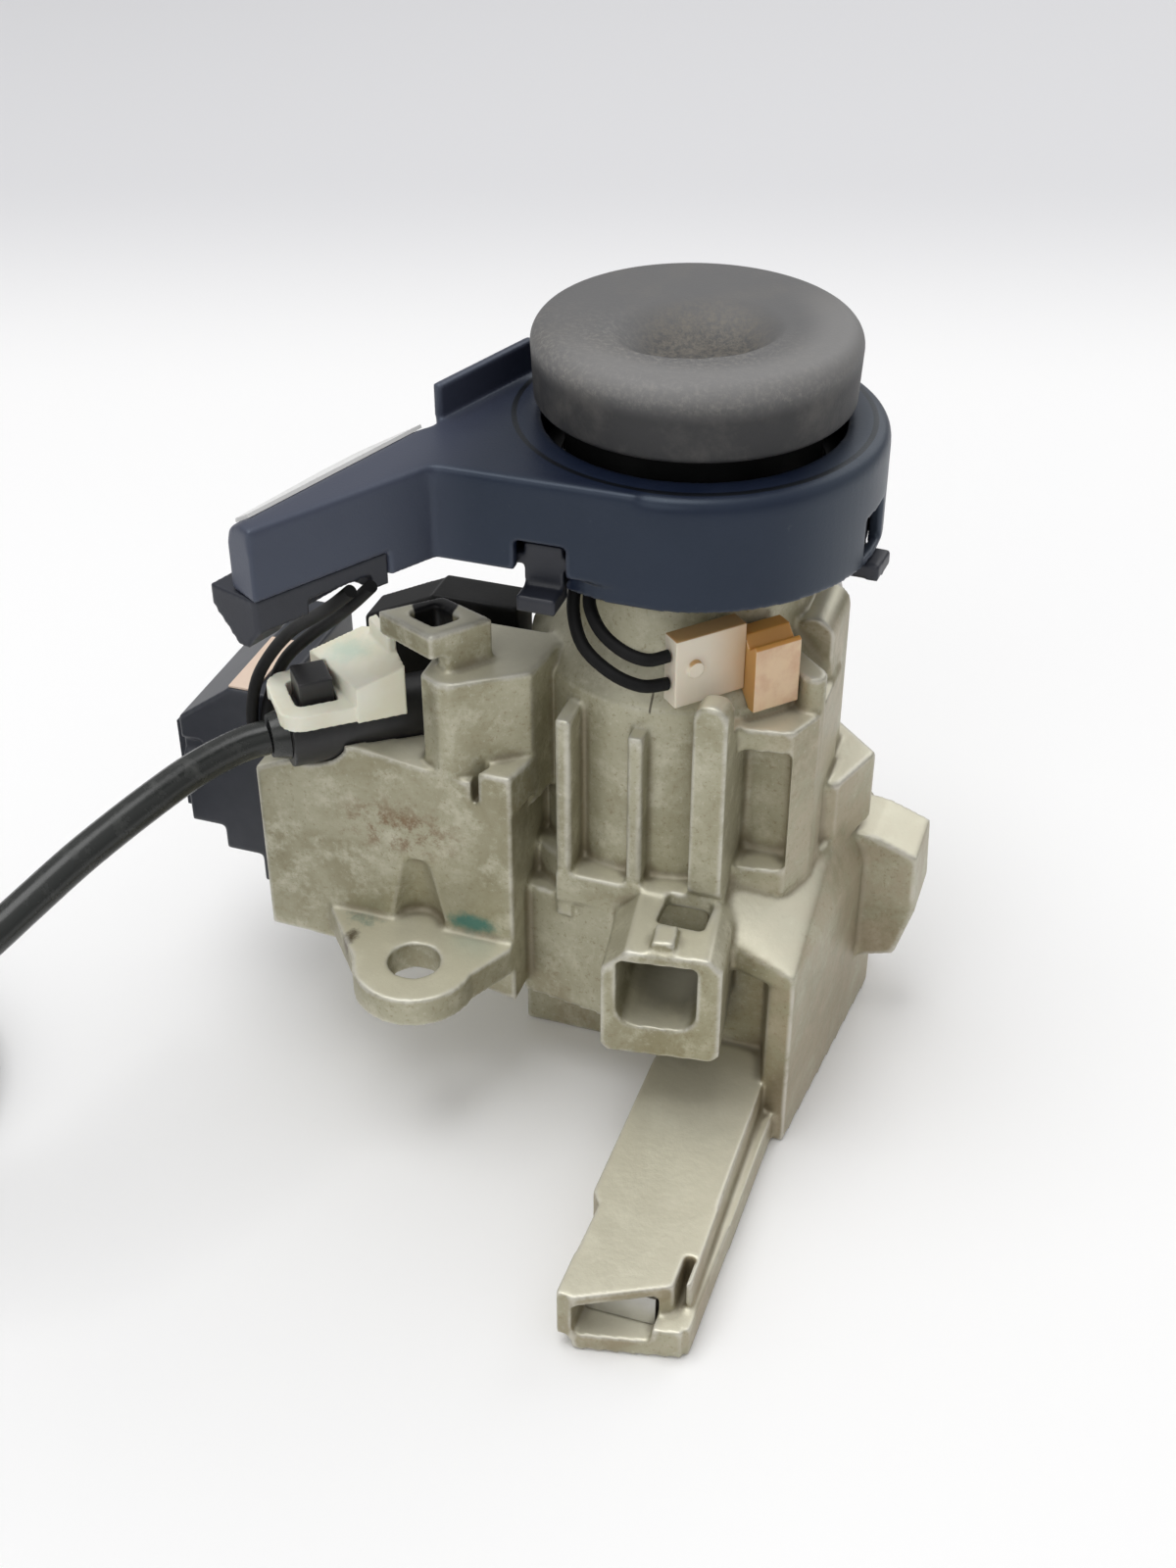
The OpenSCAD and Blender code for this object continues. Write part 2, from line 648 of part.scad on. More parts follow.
module side_plate() {
  plate_t = 12;
  translate([0, -plate_y, 0]) rotate([90, 0, 0]) mirror([0, 0, 1]) linear_extrude(plate_t) plate_outline();
  slab([-plate_end, -plate_y + join, plate_z], [-plate_inner, plate_back, plate_top - 1.5]);
  prism(ear_z, ear_z + ear_t) {
    translate([-ear_x, ear_y]) circle(ear_r);
    polygon([[-ear_x - ear_r + 0.2, ear_y - 2], [-ear_x - ear_r - 8, -plate_y - 0.2],
      [-ear_x - ear_r - 8, -plate_y + join], [-plate_inner, -plate_y + join],
      [-plate_inner, -plate_y - 1.5], [-ear_x + ear_r * 0.6, ear_y - ear_r * 0.8], [-ear_x, ear_y]]);
  }
}

// Turret that holds the cable's end fitting, with its loop above
module turret() {
  prism(plate_top - 3, turret_top)
    polygon([[-30, -28], [-27, -plate_y + 0.4], [-25, -plate_y + 0.4], [-15.5, -23], [-14, -12], [-30, -12]]);
  // Wedge beside the turret, level with the step in the plate
  prism(plate_top - join, plate_top + 5.5)
    polygon([[-plate_inner - 5, -plate_y], [-plate_inner, -plate_y], [-plate_inner + 1.5, -22.6], [-plate_inner - 1.5, -22]]);
  prism(turret_top + 2.6, turret_top + 6.4) difference() {
    polygon([[-28, -28.6], [-21.8, -21], [-30.5, -17.4], [-37.6, -24]]);
    polygon([[-28.6, -25.4], [-25.4, -21.2], [-30.2, -19.4], [-33.4, -23.4]]);
  }
  prism(turret_top - join, turret_top + 6.4)
    polygon([[-26.4, -26.6], [-21.8, -21], [-30.5, -17.4], [-32, -19], [-25.4, -22.4], [-28.4, -25.6]]);
}

module barrel_details() {
  x1 = -plate_inner + 5.2;
  prism(ledge_z - 8, barrel_top - 2) translate([x1, -rib_reach]) square([rib_t, rib_reach - 12]);
  prism(ledge_z - 1, barrel_top - 3) translate([-1, -rib_reach + 0.4]) square([rib_t, rib_reach - 12]);
  translate([post_x, -rib_reach - 0.8, 0]) {
    rotate([90, 0, 90]) linear_extrude(post_w)
      polygon([[0, ledge_z + 2], [3.4, ledge_z - 1.4], [14, ledge_z - 1.4], [14, barrel_top - 1], [4, barrel_top - 1],
        [4, post_top - post_w / 3], [0, post_top - post_w / 3]]);
    translate([post_w / 2, 0, post_top - post_w / 2]) rotate([-90, 0, 0]) cylinder(d = post_w, h = 4);
  }
  slab([x1, -rib_reach - 0.2, ledge_z - ledge_band], [post_x + 1, -12, ledge_z]);
  prism(ledge_z - 1, barrel_top - 1.5)
    polygon([[post_x + post_w - join, -21], [20.6, -19.6], [23, -14], [23, 0], [0, 0]]);
  translate([21.4, -12.2, ledge_z]) rotate([0, 0, connector_turn]) {
    cylinder(d = peg_d, h = barrel_top + 4 - ledge_z);
    translate([-peg_d / 2, 0, 0]) cube([peg_d, 8, barrel_top + 4 - ledge_z]);
  }
  prism(ledge_z - 2, barrel_top + 5) translate([16.4, -5]) square([6, 11]);
  translate([19.4, 6, barrel_top + 5]) rotate([90, 0, 0]) cylinder(r = 3, h = 11);
  prism(ledge_z - 2, ledge_z + 10) polygon([[20, -8], [25, -6], [28.4, 4], [20, 12]]);
}

module right_lug() {
  translate([0, 12, 0]) rotate([90, 0, 0]) linear_extrude(11)
    polygon([[22, 10], [34.5, 14], [37, 23], [36.5, 33], [30, 35.5], [22, 36]]);
}

module lock_housing() {
  cavity_r = crank_r + free_gap;
  color(casting_grey) difference() {
    union() {
      prism(0, guide_h) bolt_guide_outline();
      guide_foot();
      prism(0, slope_z) base_outline();
      base_slope();
      prism(body_floor, ledge_z - ledge_band) body_outline();
      translate([0, 0, ledge_z - ledge_band]) cylinder(d = ledge_d, h = ledge_band);
      translate([0, 0, ledge_z - join]) cylinder(d = barrel_d, h = barrel_top - ledge_z + join);
      translate([0, 0, barrel_top]) cylinder(d1 = barrel_d, d2 = collar_d, h = shoulder_h);
      translate([0, 0, barrel_top]) cylinder(d = collar_d, h = collar_top - barrel_top);
      square_socket();
      side_plate();
      turret();
      barrel_details();
      right_lug();
    }
    // Bore for the sleeve, seat of the pinion and bearing of the tail shaft
    translate([0, 0, pinion_seat]) cylinder(r = sleeve_r + seat_gap, h = collar_top);
    translate([0, 0, rack_z - free_gap])
      cylinder(r = pitch_r + tooth_tip + free_gap, h = rack_t + 3 * free_gap);
    translate([0, 0, crank_z]) cylinder(d = tail_d + 2 * run_gap, h = rack_z);
    // Rack channel, out through the plate's end
    slab([-plate_end - join, -rack_y1 - slide_gap, rack_z - slide_gap],
      [rack_end + rack_sweep + free_gap, -rack_y0 + slide_gap, rack_z + rack_t + slide_gap]);
    // Bolt room, open below, with the crank's recess in its roof
    slab([base_left + base_wall, -base_front + base_wall, -join],
      [guide_right - base_wall, base_back - base_wall, crank_z - free_gap / 2]);
    translate([0, 0, bolt_z]) cylinder(r = cavity_r, h = crank_z - bolt_z + crank_t + free_gap);
    slab([guide_x - bolt_w / 2 - slide_gap, -guide_reach - join, bolt_z - slide_gap],
      [guide_x + bolt_w / 2 + slide_gap, 0, bolt_z + bolt_t + slide_gap]);
    // Cut-back corner and slot at the guide's end
    translate([guide_x - bolt_w / 2, -guide_reach, guide_h / 2]) rotate([0, 0, 27])
      slab([0, -2 * guide_w, 0], [2 * guide_w, 0, guide_h]);
    slab([guide_right - 0.6, -guide_reach - join, guide_h / 2],
      [guide_right + 0.8, -guide_reach + 12, guide_h + join]);
    // Ear hole and tool pocket
    translate([-ear_x, ear_y, ear_z - join]) cylinder(d = ear_hole_d, h = ear_t + 2 * join);
    translate([-ear_x - 2.4, -plate_y - 1.2, ear_z + ear_t])
      cylinder(d1 = pocket_d, d2 = pocket_d / 2, h = 1.3 * pocket_d);
    // Window between the posts
    slab([post_x + post_w, -24, ledge_z + 3], [20.4, -15.5, barrel_top - 5]);
    // Mouth of the square socket and the notch behind its top
    at_socket() rotate([90, 0, 0]) mirror([0, 0, 1]) translate([0, 0, -join])
      linear_extrude(socket_depth + join) socket_mouth();
    slab([5.4, -31.6, socket_z + socket_h - 5], [12.2, -rib_reach + 0.5, ledge_z + join]);
    // Pocket of the cable fitting
    translate(cable_at) rotate([0, 0, cable_turn]) {
      translate([-fitting_l / 2 - seat_gap, 0, 0]) rotate([0, 90, 0])
        cylinder(d = fitting_d + 2 * seat_gap, h = 60);
    }
    // Seat of the sleeve's retaining pin
    translate([0, 0, barrel_top - 14]) rotate([-90, 0, 0]) cylinder(d = 3, h = barrel_d);
  }
}

module base_cover() {
  inset = base_wall + seat_gap;
  color(steel) slab([base_left + inset, -base_front + inset, 0],
    [guide_right - inset, base_back - inset, cover_t]);
}

module lock_sleeve() {
  color(brass) difference() {
    union() {
      translate([0, 0, pinion_seat + seat_gap]) cylinder(r = sleeve_r, h = sleeve_top - pinion_seat - seat_gap);
      translate([0, 0, collar_top + seat_gap]) cylinder(r = sleeve_flange_r, h = sleeve_flange_t - seat_gap);
    }
    translate([0, 0, pinion_seat]) cylinder(d = rotor_d + 2 * run_gap, h = sleeve_top);
    translate([0, 0, barrel_top - 14]) rotate([-90, 0, 0]) cylinder(d = 3, h = barrel_d);
  }
}

module sleeve_pin() {
  color(steel) translate([0, rotor_d / 2 + run_gap + 0.5, barrel_top - 14]) rotate([-90, 0, 0])
    cylinder(d = 3 - 0.06, h = barrel_d / 2 - rotor_d / 2 - 0.5 - run_gap);
}

module lock_rotor() {
  foot_z = pinion_seat + 2 * seat_gap;
  color(brass) difference() {
    union() {
      translate([0, 0, foot_z]) cylinder(d = rotor_d, h = rotor_top - foot_z);
      translate([0, 0, crank_z + crank_t]) cylinder(d = tail_d, h = foot_z + join - crank_z - crank_t);
    }
    slab([-shank_w / 2 - run_gap, -shank_w / 2 - run_gap, shank_z - push_travel - free_gap],
      [shank_w / 2 + run_gap, shank_w / 2 + run_gap, rotor_top + join]);
    translate([0, 0, shank_z - knob_spring_l]) cylinder(d = shank_w, h = knob_spring_l);
  }
}

// Involute flank points of one side of a pinion tooth
function involute(base_r, r) = let (t = sqrt(max(0, r * r / (base_r * base_r) - 1))) t * 180 / PI - atan(t);
module pinion_outline() {
  base_r = pitch_r * cos(pressure_angle);
  root_r = pitch_r - tooth_root;
  tip_r = pitch_r + tooth_tip;
  half = 90 / pinion_teeth - backlash / pitch_r * 90 / PI + involute(base_r, pitch_r);
  radii = [for (i = [0:4]) max(base_r, root_r) + (tip_r - max(base_r, root_r)) * i / 4];
  polygon([for (k = [0:pinion_teeth - 1]) let (mid = -90 + 360 * (k + 0.5) / pinion_teeth)
    each concat(
      [root_r * [cos(mid - half), sin(mid - half)]],
      [for (r = radii) let (a = mid - half + involute(base_r, r)) r * [cos(a), sin(a)]],
      [for (i = [4:-1:0]) let (a = mid + half - involute(base_r, radii[i])) radii[i] * [cos(a), sin(a)]],
      [root_r * [cos(mid + half), sin(mid + half)]])]);
}

module drive_pinion() {
  color(steel) prism(rack_z, rack_z + rack_t) difference() {
    pinion_outline();
    circle(d = tail_d + 0.02);
  }
}

module bolt_crank() {
  color(steel) {
    translate([0, 0, crank_z]) cylinder(r = crank_r, h = crank_t - 0.01);
    translate([-crank_throw, 0, bolt_z]) cylinder(d = crank_pin_d, h = crank_z - bolt_z + join);
  }
}

module lock_bolt() {
  slot_x0 = -crank_throw - crank_pin_d / 2 - bolt_slot_gap;
  slot_x1 = -crank_throw * cos(60) + crank_pin_d / 2 + bolt_slot_gap;
  slot_y = crank_pin_d / 2 + bolt_slot_gap;
  color(steel) prism(bolt_z, bolt_z + bolt_t) difference() {
    union() {
      translate([slot_x0 - 2.4, -bolt_half]) square([guide_x + bolt_w / 2 - slot_x0 + 2.4, 2 * bolt_half]);
      translate([guide_x - bolt_w / 2, -guide_reach + bolt_inset])
        square([bolt_w, guide_reach - bolt_inset]);
    }
    translate([slot_x0, -slot_y]) square([slot_x1 - slot_x0, 2 * slot_y]);
  }
}

rack_pitch = PI * tooth_module;
rack_teeth = 9;
rack_end = (rack_teeth + 0.5) * rack_pitch / 2;
module rack_outline() {
  thick = rack_pitch / 2 - backlash;
  slope = tan(pressure_angle);
  root_y = pitch_r + tooth_root;
  tip_y = pitch_r - tooth_tip;
  mirror([0, 1]) polygon(concat([[slide_mid, rack_y1], [slide_mid, root_y]],
    [for (k = [0:rack_teeth - 1]) let (x = (k - (rack_teeth - 1) / 2) * rack_pitch) each [
      [x - thick / 2 - tooth_root * slope, root_y], [x - thick / 2 + tooth_tip * slope, tip_y],
      [x + thick / 2 - tooth_tip * slope, tip_y], [x + thick / 2 + tooth_root * slope, root_y]]],
    [[rack_end, root_y], [rack_end, rack_y1]]));
}

module actuator_rack() {
  color(steel) prism(rack_z, rack_z + rack_t) rack_outline();
}

// Contact slide: a crosshead on the rack's end, inside the case
slide_mid = switch_x - case_l / 2 + 1.5;
slide_y0 = -rack_y1 - 3;
slide_y1 = -rack_y0 + 2;
module contact_slide() {
  color(black) slab([slide_mid - slide_l, slide_y0, rack_z], [slide_mid - seat_gap, slide_y1, rack_z + rack_t]);
}

// Switch case seen along Y, with its stepped underside and sloping top
case_back = 6;
case_front = case_back - case_w;
case_top = case_z + case_h;
cover_z = case_z + 0.3 * case_h;
cover_inset = 2;
screw_d = 4.4;
module case_outline() {
  step_1 = 0.3 * case_l;
  step_2 = 0.67 * case_l;
  polygon([[0, case_z], [-step_1, case_z], [-step_1, case_z + 0.14 * case_h], [-step_2, case_z + 0.14 * case_h],
    [-step_2, case_z + 0.26 * case_h], [-case_l, case_z + 0.26 * case_h],
    [-case_l, case_top - case_chamfer * 0.75], [-case_l + case_chamfer, case_top], [0, case_top]]);
}

module switch_case() {
  color(shell_blue * 0.7) difference() {
    translate([switch_x, case_back, 0]) rotate([90, 0, 0]) linear_extrude(case_w) case_outline();
    slab([slide_mid - slide_l - rack_sweep - free_gap, slide_y0 - free_gap, rack_z - free_gap],
      [switch_x + join, slide_y1 + free_gap, rack_z + rack_t + 2 * free_gap]);
    // Latch window and the line of the lower moulding
    slab([switch_x - case_l - join, case_front - join, case_top - 13],
      [switch_x - case_l + 3.5, case_front + 0.8, case_top - 10.5]);
  }
}

module switch_cover() {
  color(shell_blue * 0.7) slab([switch_x - case_l - switch_cover_t, case_front + cover_inset, cover_z],
    [switch_x - case_l - seat_gap, case_back - cover_inset, case_top - case_chamfer]);
}

module switch_contacts() {
  color(brass) for (i = [-1, 1]) translate([slide_mid - slide_l / 2 + i * 4, 0, rack_z + rack_t + seat_gap])
    slab([-1.4, slide_y0, 0], [1.4, slide_y1, 2 * free_gap - 2 * seat_gap]);
}

module switch_screws() {
  screw_x = switch_x - case_l - switch_cover_t - seat_gap;
  color(steel) for (y = [case_front + cover_inset + screw_d, case_back - cover_inset - screw_d])
    translate([screw_x, y, cover_z + screw_d]) rotate([0, -90, 0]) cylinder(d = screw_d, h = screw_d / 3);
}

module switch_label() {
  color([0.90, 0.78, 0.66]) slab([switch_x - case_l + case_chamfer, case_front + 0.4, case_top + seat_gap],
    [switch_x - 3.4, case_front + 15, case_top + 0.4]);
}

// Plug and header lie along the barrel's shoulder and rest on it
module at_connector() {
  translate(plug_at) rotate([0, 0, connector_turn]) children();
}

module shoulder_room() {
  translate([0, 0, barrel_top]) cylinder(d1 = barrel_d + 4 * seat_gap, d2 = collar_d + 4 * seat_gap, h = shoulder_h);
  translate([0, 0, barrel_top]) cylinder(d = collar_d + 4 * seat_gap, h = bezel_top - barrel_top);
}

module antenna_plug() {
  color(cream) difference() {
    at_connector() {
      slab([0, 0, 0], [plug_w, plug_d, plug_h]);
      translate([2.8, join, 0.55 * plug_h]) rotate([90, 0, 0]) cylinder(d = 2.4, h = join + 0.8);
    }
    shoulder_room();
  }
}

// The header has a V-shaped notch along its top
module antenna_header() {
  front = -2.5;
  top = plug_h + 0.4;
  color(amber) difference() {
    at_connector() translate([plug_w + seat_gap, 0, -2.7]) rotate([90, 0, 90]) linear_extrude(header_w)
      polygon([[front, 0], [plug_d, 0], [plug_d, top], [front + 3.2, top], [front + 1.8, top - 1.6],
        [front + 0.6, top - 0.6], [front, top - 1]]);
    shoulder_room();
  }
}

module antenna_wire_a() {
  color(black) tube(antenna_route_a, wire_d / 2, 8);
}

module antenna_wire_b() {
  color(black) tube(antenna_route_b, wire_d / 2, 8);
}

module lead_wire_a() {
  color(black) tube(lead_route_a, wire_d / 2, 8);
}

module lead_wire_b() {
  color(black) tube(lead_route_b, wire_d / 2, 8);
}

// Places the parts of the cable group
module at_cable() {
  translate(cable_at) rotate([0, 0, cable_turn]) children();
}

module cable_end() {
  color(black) at_cable() difference() {
    union() {
      translate([-fitting_l / 2, 0, 0]) rotate([0, 90, 0]) cylinder(d = fitting_d, h = fitting_l);
      slab([clip_l / 2 - 1.8, -tongue_w / 2, 0],
        [clip_l / 2 + 2.6, tongue_w / 2, fitting_d / 2 + clip_wall + 1.6]);
    }
    translate([-fitting_l / 2 - join, 0, 0]) rotate([0, 90, 0])
      cylinder(d = plunger_d + 2 * run_gap, h = plunger_bore + join);
  }
}

plunger_d = 5;
plunger_l = 8;
plunger_bore = 18;
module interlock_plunger() {
  color(steel) at_cable() translate([-fitting_l / 2, 0, 0]) rotate([0, 90, 0])
    cylinder(d = plunger_d, h = plunger_l);
}

module plunger_spring() {
  color(steel) at_cable() translate([-fitting_l / 2 + plunger_l, 0, 0]) rotate([0, 90, 0])
    coil_spring(1.7, 0.4, 5, seat_gap, plunger_bore - plunger_l - seat_gap);
}

// Spring clip: a saddle over the fitting, with a sloping loop that catches the fitting's tongue
loop_w = 13;
loop_l = 14.5;
loop_drop = 12;
tongue_w = 5;
saddle_z = 3.4;
module cable_clip() {
  w = fitting_d + 2 * clip_wall;
  top = fitting_d / 2 + clip_wall + 1;
  inner = -clip_l / 2 + 2;
  outer = clip_l / 2 - 4;
  color(cream) at_cable() {
    difference() {
      union() {
        slab([inner, -w / 2, saddle_z], [outer, w / 2, top]);
        translate([outer - 1, 0, top]) rotate([0, loop_drop, 0]) difference() {
          translate([0, 0, -clip_wall - 0.8]) linear_extrude(clip_wall + 0.8) {
            translate([0, -loop_w / 2]) square([loop_l - loop_w / 3, loop_w]);
            translate([loop_l - loop_w / 2, 0]) circle(loop_w / 2);
          }
          slab([2.4, -tongue_w / 2 - 0.6, -fitting_d], [loop_l - 3, tongue_w / 2 + 0.6, fitting_d]);
        }
        // Swept tab at the back of the saddle
        translate([0, w / 2, 0]) rotate([90, 0, 0]) linear_extrude(w / 2)
          polygon([[inner, top - join], [inner, top + 1.5], [inner + 2.6, top + 6.9], [inner + 3.8, top + 6.9],
            [outer, top - join]]);
      }
      rotate([0, 90, 0]) cylinder(d = fitting_d + 2 * seat_gap, h = 3 * clip_l, center = true);
    }
  }
}

module cable_boot() {
  color(black) at_cable() translate([fitting_l / 2 + seat_gap, 0, 0]) rotate([0, 90, 0])
    cylinder(d1 = cable_d + 2.6, d2 = cable_d + 1.2, h = 2.4);
}

module interlock_cable() {
  color(black) tube(cable_route, cable_d / 2, 10);
}

module cable_coil() {
  width = coil_across * cable_d;
  color(black) translate(coil_at) rotate_extrude() translate([coil_d / 2 - width / 2, 0])
    square([width, coil_h]);
}

module coil_tie() {
  width = coil_across * cable_d;
  t = 1;
  at = coil_at + coil_d / 2 * [cos(tie_turn), sin(tie_turn), 0];
  color([0.2, 0.2, 0.2]) translate(at) rotate([0, 0, tie_turn]) difference() {
    slab([-width / 2 - t - 2 * seat_gap, -2, 0], [width / 2 + t + 2 * seat_gap, 2, coil_h + t + seat_gap]);
    slab([-width / 2 - 2 * seat_gap, -3, -1], [width / 2 + 2 * seat_gap, 3, coil_h + seat_gap]);
  }
}

module cable_eye() {
  color(steel) translate(coil_at + [0, 0, coil_h + seat_gap]) rotate([0, 0, eye_turn])
    translate([coil_d / 2 - 11.5, 0, 0]) {
    prism(0, 2) difference() {
      union() {
        circle(d = 11);
        translate([0, -3]) square([14, 6]);
      }
      circle(d = 6);
    }
  }
}

lock_housing();
base_cover();
lock_sleeve();
sleeve_pin();
lock_rotor();
drive_pinion();
bolt_crank();
lock_bolt();
actuator_rack();
contact_slide();
switch_case();
switch_cover();
switch_contacts();
switch_screws();
switch_label();
knob_cap();
knob_stem();
knob_spring();
bezel_upper_shell();
bezel_lower_shell();
antenna_bobbin();
antenna_coil();
circuit_board();
arm_lens();
light_guide();
antenna_header();
antenna_plug();
antenna_wire_a();
antenna_wire_b();
lead_wire_a();
lead_wire_b();
cable_end();
interlock_plunger();
plunger_spring();
cable_clip();
cable_boot();
interlock_cable();
cable_coil();
coil_tie();
cable_eye();
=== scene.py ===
# %% [markdown]
# # Ignition switch with knob, bezel and interlock cable
# The imported CAD model is the skeleton of this scene. It is loaded once, in metres, and everything
# made below either gives a CAD node a better surface or stands in its place at the same spot.
# The box of the CAD model is kept.

# %% Load the frame
import bpy
import bmesh
import json
import math
import numpy as np
from mathutils import Matrix, Vector


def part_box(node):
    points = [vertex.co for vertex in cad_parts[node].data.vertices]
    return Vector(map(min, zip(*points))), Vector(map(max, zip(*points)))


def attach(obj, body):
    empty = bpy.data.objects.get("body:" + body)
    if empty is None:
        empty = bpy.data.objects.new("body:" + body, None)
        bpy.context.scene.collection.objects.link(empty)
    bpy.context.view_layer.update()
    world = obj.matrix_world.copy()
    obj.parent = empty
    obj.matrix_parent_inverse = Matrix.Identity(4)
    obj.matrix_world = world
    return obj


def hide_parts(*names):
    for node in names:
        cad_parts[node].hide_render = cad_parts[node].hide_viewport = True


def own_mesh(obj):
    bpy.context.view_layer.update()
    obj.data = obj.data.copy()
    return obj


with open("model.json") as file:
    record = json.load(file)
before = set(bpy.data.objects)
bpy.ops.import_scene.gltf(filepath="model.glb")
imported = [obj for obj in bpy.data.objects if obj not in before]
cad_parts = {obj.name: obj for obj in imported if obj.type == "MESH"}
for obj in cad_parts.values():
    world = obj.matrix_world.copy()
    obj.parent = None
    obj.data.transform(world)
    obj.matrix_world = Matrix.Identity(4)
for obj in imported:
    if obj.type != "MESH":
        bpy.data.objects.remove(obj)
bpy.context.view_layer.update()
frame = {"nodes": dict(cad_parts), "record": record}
scene = bpy.context.scene
scene.view_settings.view_transform = "Standard"

# %% [markdown]
# ## Camera
# A camera is a position, a direction and a lens. These came from lining up the knob, the bezel ring
# and the table edge with the photograph: the camera stands to the right of the middle and looks down
# by about 35 degrees. A tracking quaternion turns the look direction into a rotation.

# %% Place the camera
camera_data = bpy.data.cameras.new("bench_camera")
camera_data.sensor_width = 36
camera_data.lens = 46.125
camera_data.clip_start = 0.01
camera = bpy.data.objects.new("bench_camera", camera_data)
camera.location = (0.0655, -0.2410, 0.2166)
look = Vector((-0.2586, 0.7730, -0.5793))
camera.rotation_euler = look.to_track_quat("-Z", "Y").to_euler()
scene.collection.objects.link(camera)
scene.camera = camera
print("camera at", tuple(camera.location))

# %% [markdown]
# ## Interlock cable
# The cable is a stiff sheathed wire of 5 mm that leaves the fitting, arches over the bench and is wound
# into a three-layer coil for storage. A Bezier curve passes through every point, with handles along the line
# between its neighbours. The coil's points come from a short loop: the radius grows by one diameter each
# turn on the lowest layer, shrinks on the next and grows again on top.

# %% Route of the cable
MM = 0.001
cable_d = 5
free_route = [
    (-52.3, -32, 57.3), (-54.7, -34.2, 57.1), (-57.4, -38, 56.6), (-59.8, -42.6, 56), (-62, -48, 55.2),
    (-64.4, -54, 54.1), (-67, -61, 52.7), (-69.8, -69, 50.7), (-72.6, -76.4, 48.6), (-76.6, -81.8, 46),
    (-83, -85.4, 42), (-91, -87, 37), (-99.4, -87.4, 31.8), (-107.4, -87.2, 26.6), (-115, -87, 21.8),
    (-121.5, -86.6, 17.8), (-128.8, -84.6, 14.2), (-134.1, -79.3, 10.6),
]
coil_middle = (-121.5, -72)
coil_inner, coil_outer = 20, 30
coil_start, coil_end = -150, 185 - 360 * 7
coil_entry = ((14.9, 8.2), (15.6, 5.9), (16.8, 4.0), (18.3, 2.8), (20, 2.5))
layers = [cable_d * (layer + 0.5) for layer in range(3)]


def coil_points():
    """Points of the coil, clockwise from above, as angle, radius and height."""
    step = 20
    two_turns = 2 * 360 // step
    climb = 3
    angle = coil_start
    points = []
    for radius, height in coil_entry:
        angle -= step
        points.append((angle, radius, height))
    stretches = (
        (two_turns, coil_inner, coil_outer, layers[0], layers[0]),
        (climb, coil_outer, coil_outer, layers[0], layers[1]),
        (two_turns, coil_outer, coil_inner, layers[1], layers[1]),
        (climb, coil_inner, coil_inner, layers[1], layers[2]),
    )
    for count, radius, to_radius, height, to_height in stretches:
        for i in range(1, count + 1):
            out = radius + (to_radius - radius) * i / count
            up = height + (to_height - height) * i / count
            points.append((angle - i * step, out, up))
        angle -= count * step
    for i in range(1, (angle - coil_end) // step + 1):
        points.append((angle - i * step, coil_inner + cable_d * i * step / 360, layers[2]))
    points.append((coil_end, coil_inner + cable_d * (angle - coil_end) / 360, layers[2]))
    return points


coil = []
for turn, radius, height in coil_points():
    a = math.radians(turn)
    coil.append((coil_middle[0] + radius * math.cos(a), coil_middle[1] + radius * math.sin(a), height))
cable_route = free_route + coil
print("cable points:", len(free_route), "free and", len(coil), "in the coil")


# %% Draw a wire along a route
def wire(name, route, diameter):
    """One open Bezier curve through the route's points, with a round section."""
    data = bpy.data.curves.new(name, "CURVE")
    data.dimensions = "3D"
    data.resolution_u = data.render_resolution_u = 5
    data.bevel_depth = 1.0
    data.bevel_resolution = 5
    data.use_fill_caps = True
    spline = data.splines.new("BEZIER")
    spline.bezier_points.add(len(route) - 1)
    places = [Vector(p) * MM for p in route]
    for i, point in enumerate(spline.bezier_points):
        pull = (places[min(i + 1, len(route) - 1)] - places[max(i - 1, 0)]) / 6
        point.handle_left_type = "FREE"
        point.handle_right_type = "FREE"
        point.co = places[i]
        point.radius = diameter / 2 * MM
        point.handle_left = places[i] - pull
        point.handle_right = places[i] + pull
    thing = bpy.data.objects.new(name, data)
    scene.collection.objects.link(thing)
    return thing


def route_length(route):
    """Length of a smooth curve through the points, close enough for a cord's own length."""
    total = 0
    parts = 8
    for i in range(len(route) - 1):
        p0 = Vector(route[max(i - 1, 0)])
        p1 = Vector(route[i])
        p2 = Vector(route[i + 1])
        p3 = Vector(route[min(i + 2, len(route) - 1)])
        last = p1
        for k in range(1, parts + 1):
            t = k / parts
            here = 0.5 * (2 * p1 + (p2 - p0) * t + (2 * p0 - 5 * p1 + 4 * p2 - p3) * t * t
                          + (3 * p1 - p0 - 3 * p2 + p3) * t * t * t)
            total += (here - last).length
            last = here
    return total * MM


interlock = wire("interlock_cable_sheath", cable_route, cable_d)
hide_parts("interlock_cable", "cable_coil")
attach(interlock, "housing")

# %% [markdown]
# ## Leads
# Two thin leads run from the arm's tray down to the switch, and two shorter ones join the antenna to its
# plug. They are the same kind of curve with a thinner section.

